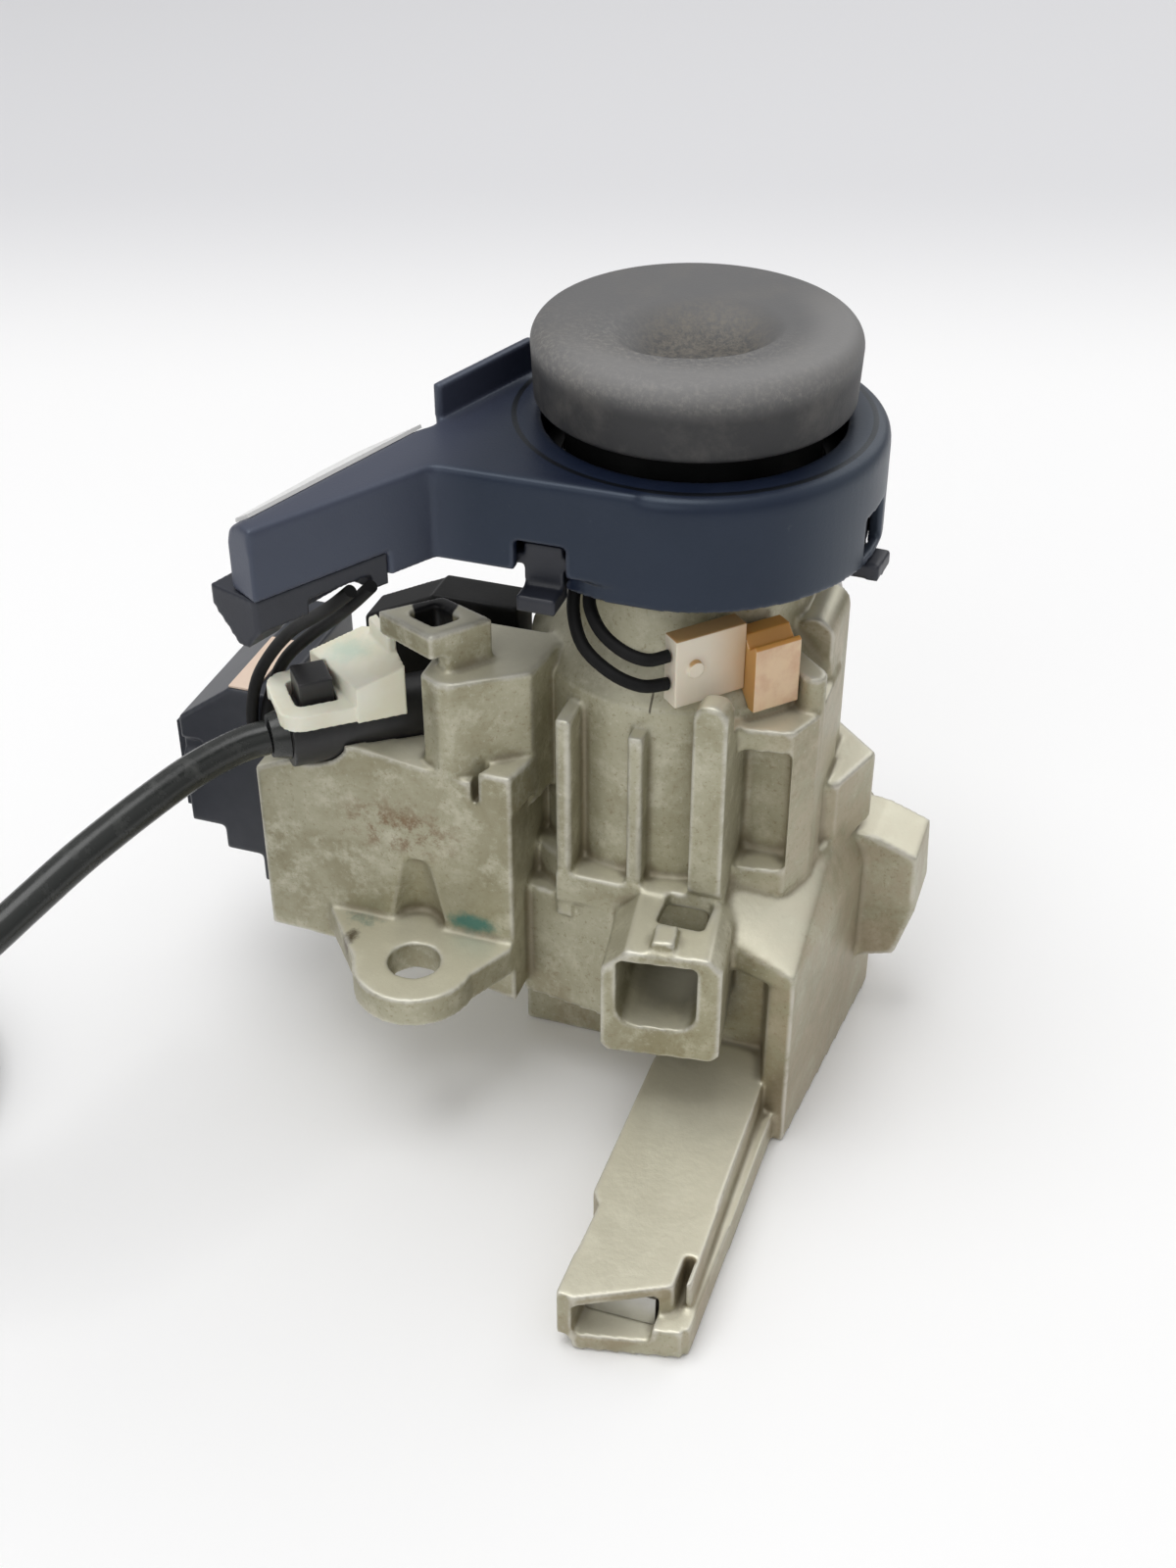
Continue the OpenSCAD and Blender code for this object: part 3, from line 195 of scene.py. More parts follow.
# %% Draw the leads
lead_d = 1.8
lead_routes = {
    "lead_wire_a": [(-34.47, -38.05, 87.6), (-37.97, -36.55, 84), (-43, -32.5, 79), (-48.7, -28.5, 73.5),
                    (-53.6, -26, 67.4), (-57, -24.8, 61.6), (-58.9, -23.9, 55), (-59.3, -23.1, 49)],
    "lead_wire_b": [(-32.47, -36.05, 87.6), (-35.97, -34.45, 83.6), (-41, -30.4, 78), (-46.5, -26.6, 72.4),
                    (-52.2, -23.9, 66), (-55.2, -23, 60.6), (-56.9, -23.2, 54.6), (-57.3, -23.1, 49)],
    "antenna_wire_a": [(-7.91, -20.14, 83.9), (-7.4, -22.4, 81.8), (-5, -24.8, 79.6), (-1.4, -26.4, 78.2),
                       (1.9, -26.4, 77.5), (4.16, -24.36, 77.4)],
    "antenna_wire_b": [(-10.11, -20.14, 83.9), (-9.6, -22.6, 80.5), (-7.3, -25.4, 77.3), (-3, -27, 75),
                       (1.2, -26.8, 73.6), (4.16, -24.36, 73.1)],
}
leads = {}
for node, route in lead_routes.items():
    lead = wire(node + "_sheath", route, lead_d)
    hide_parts(node)
    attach(lead, "housing")
    leads[node] = lead
    size = round(route_length(route), 4)
    print(node, size, "m")

# %% [markdown]
# ## Material helpers
# Every finish here is one Principled shader with a few textures that read Object coordinates, which are
# plain metres in the part's own frame. Small helpers keep each recipe short: noise, a ramp of
# colours, a mix, a soft spot round a place and a bump.


# %% Helpers for shader nodes
class Finish:
    """A node tree with one Principled shader, and short calls that add nodes to it."""

    def __init__(self, name, colour, rough=0.5, metal=0.0, **sockets):
        self.material = bpy.data.materials.new(name)
        self.material.use_nodes = True
        self.tree = self.material.node_tree
        self.shader = self.tree.nodes["Principled BSDF"]
        self.shader.inputs["Base Color"].default_value = (*colour, 1)
        self.shader.inputs["Roughness"].default_value = rough
        self.shader.inputs["Metallic"].default_value = metal
        for socket, value in sockets.items():
            self.shader.inputs[socket.replace("_", " ")].default_value = value
        self.material.diffuse_color = (*colour, 1)
        self.place = self.tree.nodes.new("ShaderNodeTexCoord").outputs["Object"]

    def new(self, kind, **settings):
        node = self.tree.nodes.new(kind)
        for key, value in settings.items():
            setattr(node, key, value)
        return node

    def join(self, source, target):
        self.tree.links.new(source, target)

    def feed(self, value, socket):
        if isinstance(value, bpy.types.NodeSocket):
            self.join(value, socket)
        elif hasattr(socket.default_value, "__len__") and len(socket.default_value) == 4:
            socket.default_value = (*value[:3], 1)
        else:
            socket.default_value = value

    def math(self, operation, a, b=0.0):
        node = self.new("ShaderNodeMath", operation=operation)
        self.feed(a, node.inputs[0])
        self.feed(b, node.inputs[1])
        return node.outputs[0]

    def times(self, a, b):
        return self.math("MULTIPLY", a, b)

    def off(self, value, middle):
        """How far a value lies from a middle, on either side."""
        return self.math("ABSOLUTE", self.math("SUBTRACT", value, middle))

    def noise(self, scale, detail=4, rough=0.55, distort=0.0):
        node = self.new("ShaderNodeTexNoise")
        self.join(self.place, node.inputs["Vector"])
        node.inputs["Scale"].default_value = scale
        node.inputs["Detail"].default_value = detail
        node.inputs["Roughness"].default_value = rough
        node.inputs["Distortion"].default_value = distort
        return node.outputs["Fac"]

    def band(self, value, low, high):
        """Zero on one side of a range and one on the other, with a soft step between."""
        node = self.new("ShaderNodeMapRange", interpolation_type="SMOOTHSTEP")
        self.feed(value, node.inputs["Value"])
        node.inputs["From Min"].default_value = low
        node.inputs["From Max"].default_value = high
        return node.outputs["Result"]

    def mix(self, amount, a, b):
        node = self.new("ShaderNodeMix", data_type="RGBA")
        self.feed(amount, node.inputs[0])
        self.feed(a, node.inputs[6])
        self.feed(b, node.inputs[7])
        return node.outputs[2]

    def axis(self, index):
        node = self.new("ShaderNodeSeparateXYZ")
        self.join(self.place, node.inputs[0])
        return node.outputs[index]

    def facing(self, index):
        """One part of the direction that the surface faces."""
        node = self.new("ShaderNodeSeparateXYZ")
        self.join(self.new("ShaderNodeNewGeometry").outputs["Normal"], node.inputs[0])
        return node.outputs[index]

    def from_axis(self):
        """Distance from the knob's axis."""
        level = self.new("ShaderNodeVectorMath", operation="MULTIPLY")
        self.join(self.place, level.inputs[0])
        level.inputs[1].default_value = (1, 1, 0)
        away = self.new("ShaderNodeVectorMath", operation="LENGTH")
        self.join(level.outputs[0], away.inputs[0])
        return away.outputs["Value"]

    def spot(self, middle, radius, soft=0.5, squash=(1, 1, 1), ragged=0.0):
        """One inside a soft ball round a place in millimetres, zero outside it."""
        node = self.new("ShaderNodeVectorMath", operation="SUBTRACT")
        self.join(self.place, node.inputs[0])
        node.inputs[1].default_value = [v * MM for v in middle]
        flat = self.new("ShaderNodeVectorMath", operation="MULTIPLY")
        self.join(node.outputs[0], flat.inputs[0])
        flat.inputs[1].default_value = squash
        away = self.new("ShaderNodeVectorMath", operation="LENGTH")
        self.join(flat.outputs[0], away.inputs[0])
        distance = away.outputs["Value"]
        if ragged:
            wobble = self.times(self.math("SUBTRACT", self.noise(600, 5, 0.7), 0.5), ragged * MM)
            distance = self.math("ADD", distance, wobble)
        return self.band(distance, radius * MM, radius * (1 - soft) * MM)

    def own(self, name):
        """A value that the piece's own mesh carries at each point."""
        return self.new("ShaderNodeAttribute", attribute_name=name).outputs["Fac"]

    def ramp(self, value, low, high, a, b):
        """Stretches a value from one range to another."""
        node = self.new("ShaderNodeMapRange")
        self.feed(value, node.inputs["Value"])
        for name, number in (("From Min", low), ("From Max", high), ("To Min", a), ("To Max", b)):
            node.inputs[name].default_value = number
        return node.outputs["Result"]

    def paint(self, colour=None, rough=None):
        for value, name in ((colour, "Base Color"), (rough, "Roughness")):
            if value is not None:
                self.feed(value, self.shader.inputs[name])

    def bump(self, height, depth, strength=1.0, below=None):
        node = self.new("ShaderNodeBump")
        node.inputs["Strength"].default_value = strength
        node.inputs["Distance"].default_value = depth * MM
        self.join(height, node.inputs["Height"])
        if below is not None:
            self.join(below, node.inputs["Normal"])
        self.join(node.outputs[0], self.shader.inputs["Normal"])
        return node.outputs[0]


def wear(thing, finish):
    """Gives one material to every face of a piece or a CAD node."""
    slots = thing.data.materials
    slots.clear()
    slots.append(finish.material)


print("finish helper ready")

# %% [markdown]
# ## Die casting
# The body is a zinc casting, dull and warm grey, with oily brown blotches, dark dirt with painted shade in
# the corners and bright rubbed edges with a painted highlight on them. Noise of three sizes makes the
# blotches. The rounded mesh further down carries two values of its own, one for how far a point stands out
# and one for how deep it lies, and these place the rub with its painted highlight and the dirt with its
# painted shade. Faces that look up are painted paler, as painted overhead light. The right side is painted
# darker and browner, partly as brown tint and partly as painted shade, and the body grows darker and browner
# towards the bottom. A few soft spots place the stains, the teal inspection paint, painted shade in a hollow
# and painted shade inside the turret's hole, and a thin dark line is the seam on the barrel.

# %% Casting finish
cast = Finish("cast_metal", (0.52, 0.49, 0.37), 0.45, 0.45)
blotch = cast.noise(38, 6, 0.62, distort=0.6)
mottle = cast.noise(210, 5, 0.7)
speck = cast.noise(1300, 4, 0.75)
tone = cast.mix(cast.band(blotch, 0.36, 0.66), (0.46, 0.44, 0.32), (0.30, 0.275, 0.175))
tone = cast.mix(cast.band(mottle, 0.45, 0.72), tone, (0.56, 0.54, 0.415))
stain = cast.band(cast.noise(17, 7, 0.68, distort=1.2), 0.52, 0.68)
tone = cast.mix(cast.times(stain, 0.4), tone, (0.29, 0.255, 0.155))
tone = cast.mix(cast.times(cast.band(speck, 0.55, 0.68), 0.6), tone, (0.25, 0.205, 0.12))
tone = cast.mix(cast.times(cast.band(speck, 0.42, 0.30), 0.35), tone, (0.68, 0.66, 0.56))
# Darker and browner towards the bottom.
darker_towards_bottom = cast.times(cast.band(cast.axis(2), 0.03, 0.0), cast.band(blotch, 0.42, 0.6))
tone = cast.mix(cast.times(darker_towards_bottom, 0.5), tone, (0.33, 0.26, 0.165))
# The right side is painted darker and browner: partly brown tint and partly painted shade.
right_tint_and_painted_shade = cast.times(cast.band(cast.axis(0), 0.012, 0.026), cast.band(mottle, 0.35, 0.62))
tone = cast.mix(cast.times(right_tint_and_painted_shade, 0.6), tone, (0.36, 0.285, 0.19))
# Faces that look up are painted paler: painted overhead light.
upward_painted_light = cast.times(cast.band(cast.facing(2), 0.55, 0.95), 0.72)
tone = cast.mix(upward_painted_light, tone, (0.86, 0.83, 0.67))
rust_area = cast.spot((-34, -30, 44), 13, 0.8, (1, 0.5, 1.9), 10)
rust = cast.times(rust_area, cast.band(cast.noise(330, 6, 0.75), 0.46, 0.62))
tone = cast.mix(cast.times(rust, 0.8), tone, (0.20, 0.115, 0.055))
teal_spots = ((-39.6, -31, 25.9, 3.0), (-23.0, -30.6, 29.4, 3.4))
for x, y, z, size in teal_spots:
    teal = cast.times(cast.spot((x, y, z), size, 0.7, (0.65, 0.8, 1.5), 3.5), 0.85)
    tone = cast.mix(teal, tone, (0.035, 0.20, 0.18))
brown_spot = cast.spot((-39.8, -36, 26), 2.6, 0.6, (1.6, 1, 1), 2.5)
tone = cast.mix(cast.times(brown_spot, 0.9), tone, (0.07, 0.04, 0.015))
# A soft grey spot darkens a hollow: painted shade.
hollow_painted_shade = cast.spot((8.3, -27, 20), 11, 0.35, (1, 1, 1), 2)
tone = cast.mix(cast.times(hollow_painted_shade, 0.55), tone, (0.13, 0.13, 0.13))
# Corners darken by how deep a point lies: dirt and painted shade.
corner_dirt_and_painted_shade = cast.times(cast.band(cast.own("lies_deep"), 0.012, 0.07), 0.75)
tone = cast.mix(corner_dirt_and_painted_shade, tone, (0.20, 0.165, 0.105))
# Edges that stand out turn pale: rubbed wear and a painted highlight.
rub_and_painted_highlight = cast.times(cast.band(cast.own("stands_out"), 0.03, 0.12), cast.band(mottle, 0.25, 0.55))
tone = cast.mix(cast.times(rub_and_painted_highlight, 0.55), tone, (0.74, 0.725, 0.66))
seam_x, seam_front, seam_foot = 0.0012, -0.0212, 0.0662
seam = cast.band(cast.off(cast.axis(0), seam_x), 0.00022, 0.00010)
seam = cast.times(seam, cast.band(cast.axis(1), seam_front + 0.0012, seam_front))
seam = cast.times(seam, cast.band(cast.axis(2), seam_foot, seam_foot + 0.0006))
tone = cast.mix(cast.times(seam, 0.8), tone, (0.05, 0.035, 0.02))
# Near-black inside the turret's hole: painted shade.
turret_hole_painted_shade = cast.spot((-30.6, -20.1, 73.5), 3.5, 0.1, (1, 1, 0.35))
tone = cast.mix(turret_hole_painted_shade, tone, (0.010, 0.010, 0.011))
cast.paint(tone, cast.ramp(mottle, 0, 1, 0.32, 0.55))
skin = cast.bump(cast.noise(900, 4, 0.6), 0.12, 0.5)
cast.bump(cast.noise(120, 3, 0.5), 0.35, 0.35, skin)
print("cast metal ready")

# %% [markdown]
# ## Knob and bezel plastics
# The knob is a matte charcoal moulding that thumbs have dusted and scuffed round its crown. Its top is
# painted lighter than its side, as painted overhead light, and a pale band on the crown towards the front
# right is a painted highlight. The bezel is a satin blue-grey shell with a fine spark-eroded grain, darker
# than the knob and smoother; its arm and its right end are painted lighter, as painted light. A thin dark
# ring runs round the knob on its top, which is painted shade in a groove.

# %% Knob finish
knob_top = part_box("knob_cap")[1].z
charcoal = Finish("knob_charcoal", (0.085, 0.083, 0.080), 0.58, 0.0)
grain = charcoal.noise(2600, 3, 0.6)
dust = charcoal.noise(1300, 8, 0.8)
scuff = charcoal.noise(120, 5, 0.7)
height = charcoal.axis(2)
# The top is painted lighter than the side: painted overhead light.
knob_top_painted_light = charcoal.band(height, knob_top - 0.0052, knob_top - 0.0018)
body = charcoal.mix(knob_top_painted_light, (0.030, 0.030, 0.031), (0.118, 0.117, 0.117))
body = charcoal.mix(charcoal.times(charcoal.band(scuff, 0.4, 0.75), 0.35), body, (0.16, 0.15, 0.135))
rising = charcoal.band(height, knob_top - 0.0044, knob_top - 0.0014)
crown = charcoal.times(rising, charcoal.band(height, knob_top + 0.0004, knob_top - 0.0004))
front = charcoal.band(charcoal.axis(1), 0.006, -0.016)
rubbed = charcoal.times(charcoal.times(crown, front), charcoal.band(dust, 0.44, 0.70))
body = charcoal.mix(charcoal.times(rubbed, 0.75), body, (0.30, 0.285, 0.255))
# A pale band on the crown towards the front right: a painted highlight.
outer = charcoal.band(charcoal.from_axis(), 0.0128, 0.0180)
crest_painted_highlight = charcoal.times(outer, charcoal.band(height, knob_top - 0.0034, knob_top - 0.0008))
toward = charcoal.math("ADD", charcoal.times(charcoal.axis(1), -1.0), charcoal.axis(0))
crest_painted_highlight = charcoal.times(crest_painted_highlight, charcoal.band(toward, -0.010, 0.014))
body = charcoal.mix(charcoal.times(crest_painted_highlight, 0.6), body, (0.235, 0.230, 0.224))
pit = charcoal.times(charcoal.spot((1, 0, 111), 10.5, 0.5), charcoal.band(dust, 0.36, 0.66))
body = charcoal.mix(charcoal.times(pit, 0.6), body, (0.21, 0.185, 0.145))
charcoal.paint(body)
charcoal.bump(grain, 0.10, 0.45)
print("knob finish ready")

# %% Bezel finish
shell = Finish("bezel_blue_grey", (0.021, 0.026, 0.043), 0.36, 0.0)
ash = shell.noise(55, 5, 0.6)
pore = shell.noise(3000, 2, 0.5)
flecks = shell.times(shell.band(shell.noise(700, 4, 0.7), 0.67, 0.80), 0.25)
shade = shell.mix(shell.band(ash, 0.35, 0.7), (0.005, 0.009, 0.024), (0.009, 0.014, 0.031))
# The arm and the right end are painted lighter than the ring: painted light on one material.
arm_painted_light = shell.band(shell.axis(0), -0.020, -0.034)
shade = shell.mix(shell.times(arm_painted_light, 0.85), shade, (0.062, 0.068, 0.098))
right_end_painted_light = shell.band(shell.axis(0), 0.016, 0.0265)
shade = shell.mix(shell.times(right_end_painted_light, 0.6), shade, (0.050, 0.062, 0.080))
shade = shell.mix(flecks, shade, (0.12, 0.12, 0.12))
shell.shader.inputs["Specular Tint"].default_value = (0.74, 0.87, 1.0, 1)
ring_r = 0.0243
# A thin near-black ring on the top: painted shade in the groove there.
groove_painted_shade = shell.band(shell.off(shell.from_axis(), ring_r), 0.00044, 0.00030)
groove_painted_shade = shell.times(groove_painted_shade, shell.band(shell.axis(2), 0.0985, 0.0995))
shade = shell.mix(shell.times(groove_painted_shade, 0.95), shade, (0.001, 0.001, 0.002))
worn_edge = shell.times(shell.band(shell.own("stands_out"), 0.03, 0.12), 0.35)
shade = shell.mix(worn_edge, shade, (0.09, 0.10, 0.13))
shell.paint(shade, shell.ramp(ash, 0.3, 0.7, 0.32, 0.44))
shell.bump(pore, 0.05, 0.35)
under_shell = Finish("bezel_underside", (0.014, 0.017, 0.026), 0.42)
under_shade = under_shell.mix(under_shell.band(under_shell.noise(60, 4), 0.35, 0.7), (0.012, 0.014, 0.022),
                              (0.022, 0.025, 0.036))
under_shell.paint(under_shade)
under_shell.bump(under_shell.noise(2600, 2), 0.05, 0.35)
print("bezel finishes ready")

# %% [markdown]
# ## Small plastics, cable and works
# The clip, plug and header are pale nylon, which lets a little light in, so they get some subsurface. The
# plug and the header are darker and more orange on top, and darker towards each other as painted shade
# between the two parts. The cable sheath is glossy black with dry rubs along it. The works inside are plain
# steel and brass.


# %% Small finishes
def two_tone(name, light, dark, scale, rough, metal=0.0, **sockets):
    """A finish that drifts between two colours, with a fine grain."""
    finish = Finish(name, light, rough, metal, **sockets)
    finish.paint(finish.mix(finish.band(finish.noise(scale, 5, 0.6), 0.35, 0.7), light, dark))
    finish.bump(finish.noise(1800, 3), 0.05, 0.35)
    return finish


nylon = Finish("clip_nylon", (0.80, 0.77, 0.64), 0.42, 0.0, Subsurface_Weight=0.12, Subsurface_Scale=0.002)
ivory = nylon.mix(nylon.band(nylon.noise(90, 5), 0.35, 0.7), (0.88, 0.87, 0.74), (0.80, 0.77, 0.60))
smear = nylon.times(nylon.spot((-44, -21.8, 68), 4.2, 0.85, (0.8, 1, 1), 4), 0.5)
nylon.paint(nylon.mix(smear, ivory, (0.42, 0.62, 0.52)))
nylon.bump(nylon.noise(1200, 3), 0.05, 0.3)
blush = Finish("plug_nylon", (0.74, 0.66, 0.52), 0.45, 0.0, Subsurface_Weight=0.12, Subsurface_Scale=0.002)
# The plug is painted browner towards the header: painted shade between the two parts; its top is darker.
cream = blush.mix(blush.band(blush.axis(0), 0.0075, 0.0135), (0.76, 0.69, 0.56), (0.60, 0.42, 0.25))
blush.paint(blush.mix(blush.band(blush.facing(2), 0.4, 0.8), cream, (0.50, 0.31, 0.13)))
blush.bump(blush.noise(1800, 3), 0.05, 0.35)
amber = Finish("header_amber", (0.78, 0.58, 0.38), 0.42, 0.0, Subsurface_Weight=0.15, Subsurface_Scale=0.002)
honey = amber.mix(amber.band(amber.noise(260, 5), 0.42, 0.7), (0.76, 0.56, 0.36), (0.66, 0.43, 0.27))
# Faces towards the plug are painted darker orange: painted shade between the two parts; the top is orange.
honey = amber.mix(amber.band(amber.facing(0), -0.2, -0.6), honey, (0.60, 0.33, 0.11))
amber.paint(amber.mix(amber.band(amber.facing(2), 0.3, 0.7), honey, (0.66, 0.32, 0.07)))
amber.bump(amber.noise(1500, 3), 0.05, 0.3)
sheath = Finish("cable_sheath", (0.012, 0.012, 0.013), 0.3)
rub_marks = sheath.band(sheath.noise(240, 5, 0.7), 0.5, 0.75)
sheath.paint(sheath.mix(rub_marks, (0.018, 0.020, 0.018), (0.058, 0.060, 0.056)))
sheath.paint(rough=sheath.ramp(rub_marks, 0, 1, 0.26, 0.5))
sheath.bump(sheath.noise(700, 3), 0.06, 0.3)
lead_skin = two_tone("lead_black", (0.004, 0.004, 0.004), (0.007, 0.007, 0.007), 300, 0.6,
                     Specular_IOR_Level=0.2)
switch_skin = two_tone("switch_plastic", (0.020, 0.023, 0.032), (0.034, 0.037, 0.047), 90, 0.38)
black_skin = two_tone("black_plastic", (0.014, 0.014, 0.015), (0.026, 0.025, 0.025), 120, 0.42)
# Near-black: painted shade on the knob's stem in its deep gap, and on the black shroud, darker than plastic.
black_and_painted_shade = two_tone("black_and_painted_shade", (0.004, 0.004, 0.004), (0.008, 0.008, 0.008), 200, 0.5,
                      Specular_IOR_Level=0.25)
peach = two_tone("peach_sticker", (0.78, 0.62, 0.50), (0.70, 0.53, 0.41), 60, 0.6)
milk = two_tone("milk_lens", (0.80, 0.80, 0.78), (0.72, 0.72, 0.70), 50, 0.3)
frost = two_tone("frosted_guide", (0.74, 0.74, 0.70), (0.66, 0.66, 0.62), 70, 0.35, Subsurface_Weight=0.2,
                 Subsurface_Scale=0.003)
steel = two_tone("works_steel", (0.55, 0.55, 0.54), (0.40, 0.39, 0.37), 90, 0.38, 1.0)
plate_steel = two_tone("cover_steel", (0.50, 0.49, 0.46), (0.33, 0.31, 0.27), 60, 0.45, 0.9)
brass = two_tone("works_brass", (0.62, 0.46, 0.20), (0.45, 0.32, 0.13), 90, 0.38, 1.0)
copper = two_tone("copper_winding", (0.60, 0.26, 0.12), (0.46, 0.19, 0.08), 200, 0.35, 1.0)
board_green = two_tone("board_green", (0.035, 0.13, 0.06), (0.025, 0.09, 0.045), 120, 0.4)
print("small finishes ready")

# %% [markdown]
# ## Finishes on the CAD nodes
# Each CAD node keeps its own shape at first and takes the finish of its slot in the record, apart from the
# knob's stem, which is painted near-black as painted shade because it stands in a deep gap. Nodes that get a
# finer surface further down are replaced there.

# %% Dress the nodes by slot
slot_finish = {
    "casting": cast, "cover_steel": plate_steel, "works_steel": steel, "works_brass": brass, "knob": charcoal,
    "bezel": shell, "bezel_inner": under_shell, "switch_plastic": switch_skin, "black_plastic": black_skin,
    "copper_wire": copper, "board": board_green, "white_lens": milk, "light_guide": frost, "plug": blush,
    "header": amber, "clip": nylon, "sticker": peach, "cable": sheath,
}
slot_of = {part["node"]: part["material_slot"] for part in frame["record"]["subparts"]}
for node in frame["nodes"]:
    wear(bpy.data.objects[node], slot_finish[slot_of[node]])
# The stem is painted near-black as painted shade, because it stands in a deep gap.
wear(bpy.data.objects["knob_stem"], black_and_painted_shade)
wear(interlock, sheath)
for lead in leads.values():
    wear(lead, lead_skin)
print("dressed", len(frame["nodes"]), "nodes")

# %% [markdown]
# ## Soft edges
# A casting or moulding has no knife edges: the die rounds them and the polish takes off the rest. A merged
# copy of the CAD mesh is rebuilt from small voxels, which rounds each edge by about one voxel, and a light
# smoothing evens it out. Before the mesh is thinned, each point is compared with its neighbours: a point
# that stands out is on an edge, and one that lies deep is in a corner.


# %% Marks for edges and corners
def merged(mesh):
    """Joins the points that a CAD mesh holds more than once."""
    work = bmesh.new()
    work.from_mesh(mesh)
    bmesh.ops.remove_doubles(work, verts=work.verts, dist=2e-6)
    work.to_mesh(mesh)
    work.free()
    return mesh


def net(mesh):
    """The mesh's points, and a call that gives the mean of a value over each point's neighbours."""
    count = len(mesh.vertices)
    places = np.empty(count * 3, dtype=np.float32)
    mesh.vertices.foreach_get("co", places)
    ends = np.empty(len(mesh.edges) * 2, dtype=np.int32)
    mesh.edges.foreach_get("vertices", ends)
    first, second = ends.reshape(-1, 2).T
    near = np.bincount(ends, minlength=count)

    def around(values):
        total = np.bincount(first, values[second], count) + np.bincount(second, values[first], count)
        return total / near

    return places.reshape(-1, 3), around


def mark_edges(mesh, voxel):
    """Stores how far each point stands out of its neighbours, or lies below them, in voxels."""
    places, around = net(mesh)
    normals = np.empty(places.size, dtype=np.float32)
    mesh.vertex_normals.foreach_get("vector", normals)
    normals = normals.reshape(-1, 3)
    lift = sum((places[:, k] - around(places[:, k])) * normals[:, k] for k in range(3)) / (voxel * MM)
    crisp = around(lift)
    wide = crisp
    for _ in range(5):
        wide = around(wide)
    for name, values in (("stands_out", crisp), ("lies_deep", -wide)):
        layer = mesh.attributes.new(name, "FLOAT", "POINT")
        layer.data.foreach_set("value", np.clip(values, 0, 1).astype(np.float32))


def baked_copy(thing):
    """The mesh of an object with its modifiers applied."""
    return bpy.data.meshes.new_from_object(thing.evaluated_get(bpy.context.evaluated_depsgraph_get()))


def prism(outline, low, high, fall=0.0, place=Matrix()):
    """A closed block over an outline in millimetres, whose top may fall along X."""
    work = bmesh.new()
    foot = [work.verts.new(place @ Vector((x, y, low)) * MM) for x, y in outline]
    head = [work.verts.new(place @ Vector((x, y, high - fall * x)) * MM) for x, y in outline]
    work.faces.new(foot[::-1])
    work.faces.new(head)
    for i in range(len(outline)):
        n = (i + 1) % len(outline)
        work.faces.new((foot[i], foot[n], head[n], head[i]))
    bmesh.ops.recalc_face_normals(work, faces=work.faces)
    mesh = bpy.data.meshes.new("block")
    work.to_mesh(mesh)
    work.free()
    return mesh


def shaped(mesh, blocks, how):
    """The mesh after each block is joined to it or cut out of it."""
    piece = bpy.data.objects.new("shaped", mesh)
    scene.collection.objects.link(piece)
    for block in blocks:
        tool = bpy.data.objects.new("tool", block)
        scene.collection.objects.link(tool)
        step = piece.modifiers.new("step", "BOOLEAN")
        step.operation = how
        step.solver = "EXACT"
        step.object = tool
        piece.data = baked_copy(piece)
        piece.modifiers.clear()
        bpy.data.objects.remove(tool)
    mesh = piece.data
    bpy.data.objects.remove(piece)
    return mesh


def soften(mesh, low, high, passes):
    """Evens out the points between two heights in millimetres, most in the middle of the band."""
    places, around = net(mesh)
    places = places.astype(np.float64)
    ramp_in = np.clip((places[:, 2] / MM - low) / 1.2, 0, 1)
    ramp_out = np.clip((high - places[:, 2] / MM) / 0.3, 0, 1)
    share = 0.6 * ramp_in * ramp_out
    for _ in range(passes):
        for k in range(3):
            line = places[:, k]
            places[:, k] = line + share * (around(line) - line)
    mesh.vertices.foreach_set("co", places.astype(np.float32).ravel())
    mesh.update()


print("edge marks ready")


# %% Rounded copies of CAD nodes
most_triangles = 190000


def rounded(node, voxel, passes, finish, shape=None, taken=(), added=(), rim=None, name=None):
    """Stands a voxel-rounded copy in the place of a CAD node, or adds a rounded shape of its own."""
    mesh = merged(shape or bpy.data.objects[node].data.copy())
    mesh = shaped(mesh, taken, "DIFFERENCE")
    mesh = shaped(mesh, added, "UNION")
    name = name or node + "_rounded"
    piece = bpy.data.objects.new(name, mesh)
    scene.collection.objects.link(piece)
    remesh = piece.modifiers.new("voxels", "REMESH")
    remesh.mode = "VOXEL"
    remesh.voxel_size = voxel * MM
    smooth = piece.modifiers.new("even", "SMOOTH")
    smooth.factor = 0.5
    smooth.iterations = passes
    piece.data = baked_copy(piece)
    piece.modifiers.clear()
    if rim:
        soften(piece.data, *rim)
    mark_edges(piece.data, voxel)
    triangles = sum(len(p.vertices) - 2 for p in piece.data.polygons)
    if triangles > most_triangles:
        thin = piece.modifiers.new("thin", "DECIMATE")
        thin.ratio = most_triangles / triangles
        piece.data = baked_copy(piece)
        piece.modifiers.clear()
    piece.data.name = name
    piece.data.polygons.foreach_set("use_smooth", [True] * len(piece.data.polygons))
    wear(piece, finish)
    if node:
        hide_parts(node)
    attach(piece, "housing")
    print(name, "rounded:", triangles, "triangles, at most", most_triangles, "kept")


def rectangle(left, near, right, far):
    """Corners of a rectangle, anticlockwise from above."""
    return [(left, near), (right, near), (right, far), (left, far)]


mouth_cheek = prism([(5.6, -75.6), (7.8, -75.6), (7.8, -58), (6.2, -58)], 2, 10)
upper_rim = (97.6, 101.35, 16)
rounded("lock_housing", 0.45, 2, cast, added=[mouth_cheek])
rounded("bezel_upper_shell", 0.34, 4, shell, rim=upper_rim)
rounded("bezel_lower_shell", 0.34, 2, under_shell)
rounded("switch_case", 0.35, 2, switch_skin)
rounded("antenna_plug", 0.16, 2, blush)
rounded("antenna_header", 0.16, 2, amber)
rounded("light_guide", 0.25, 3, frost)

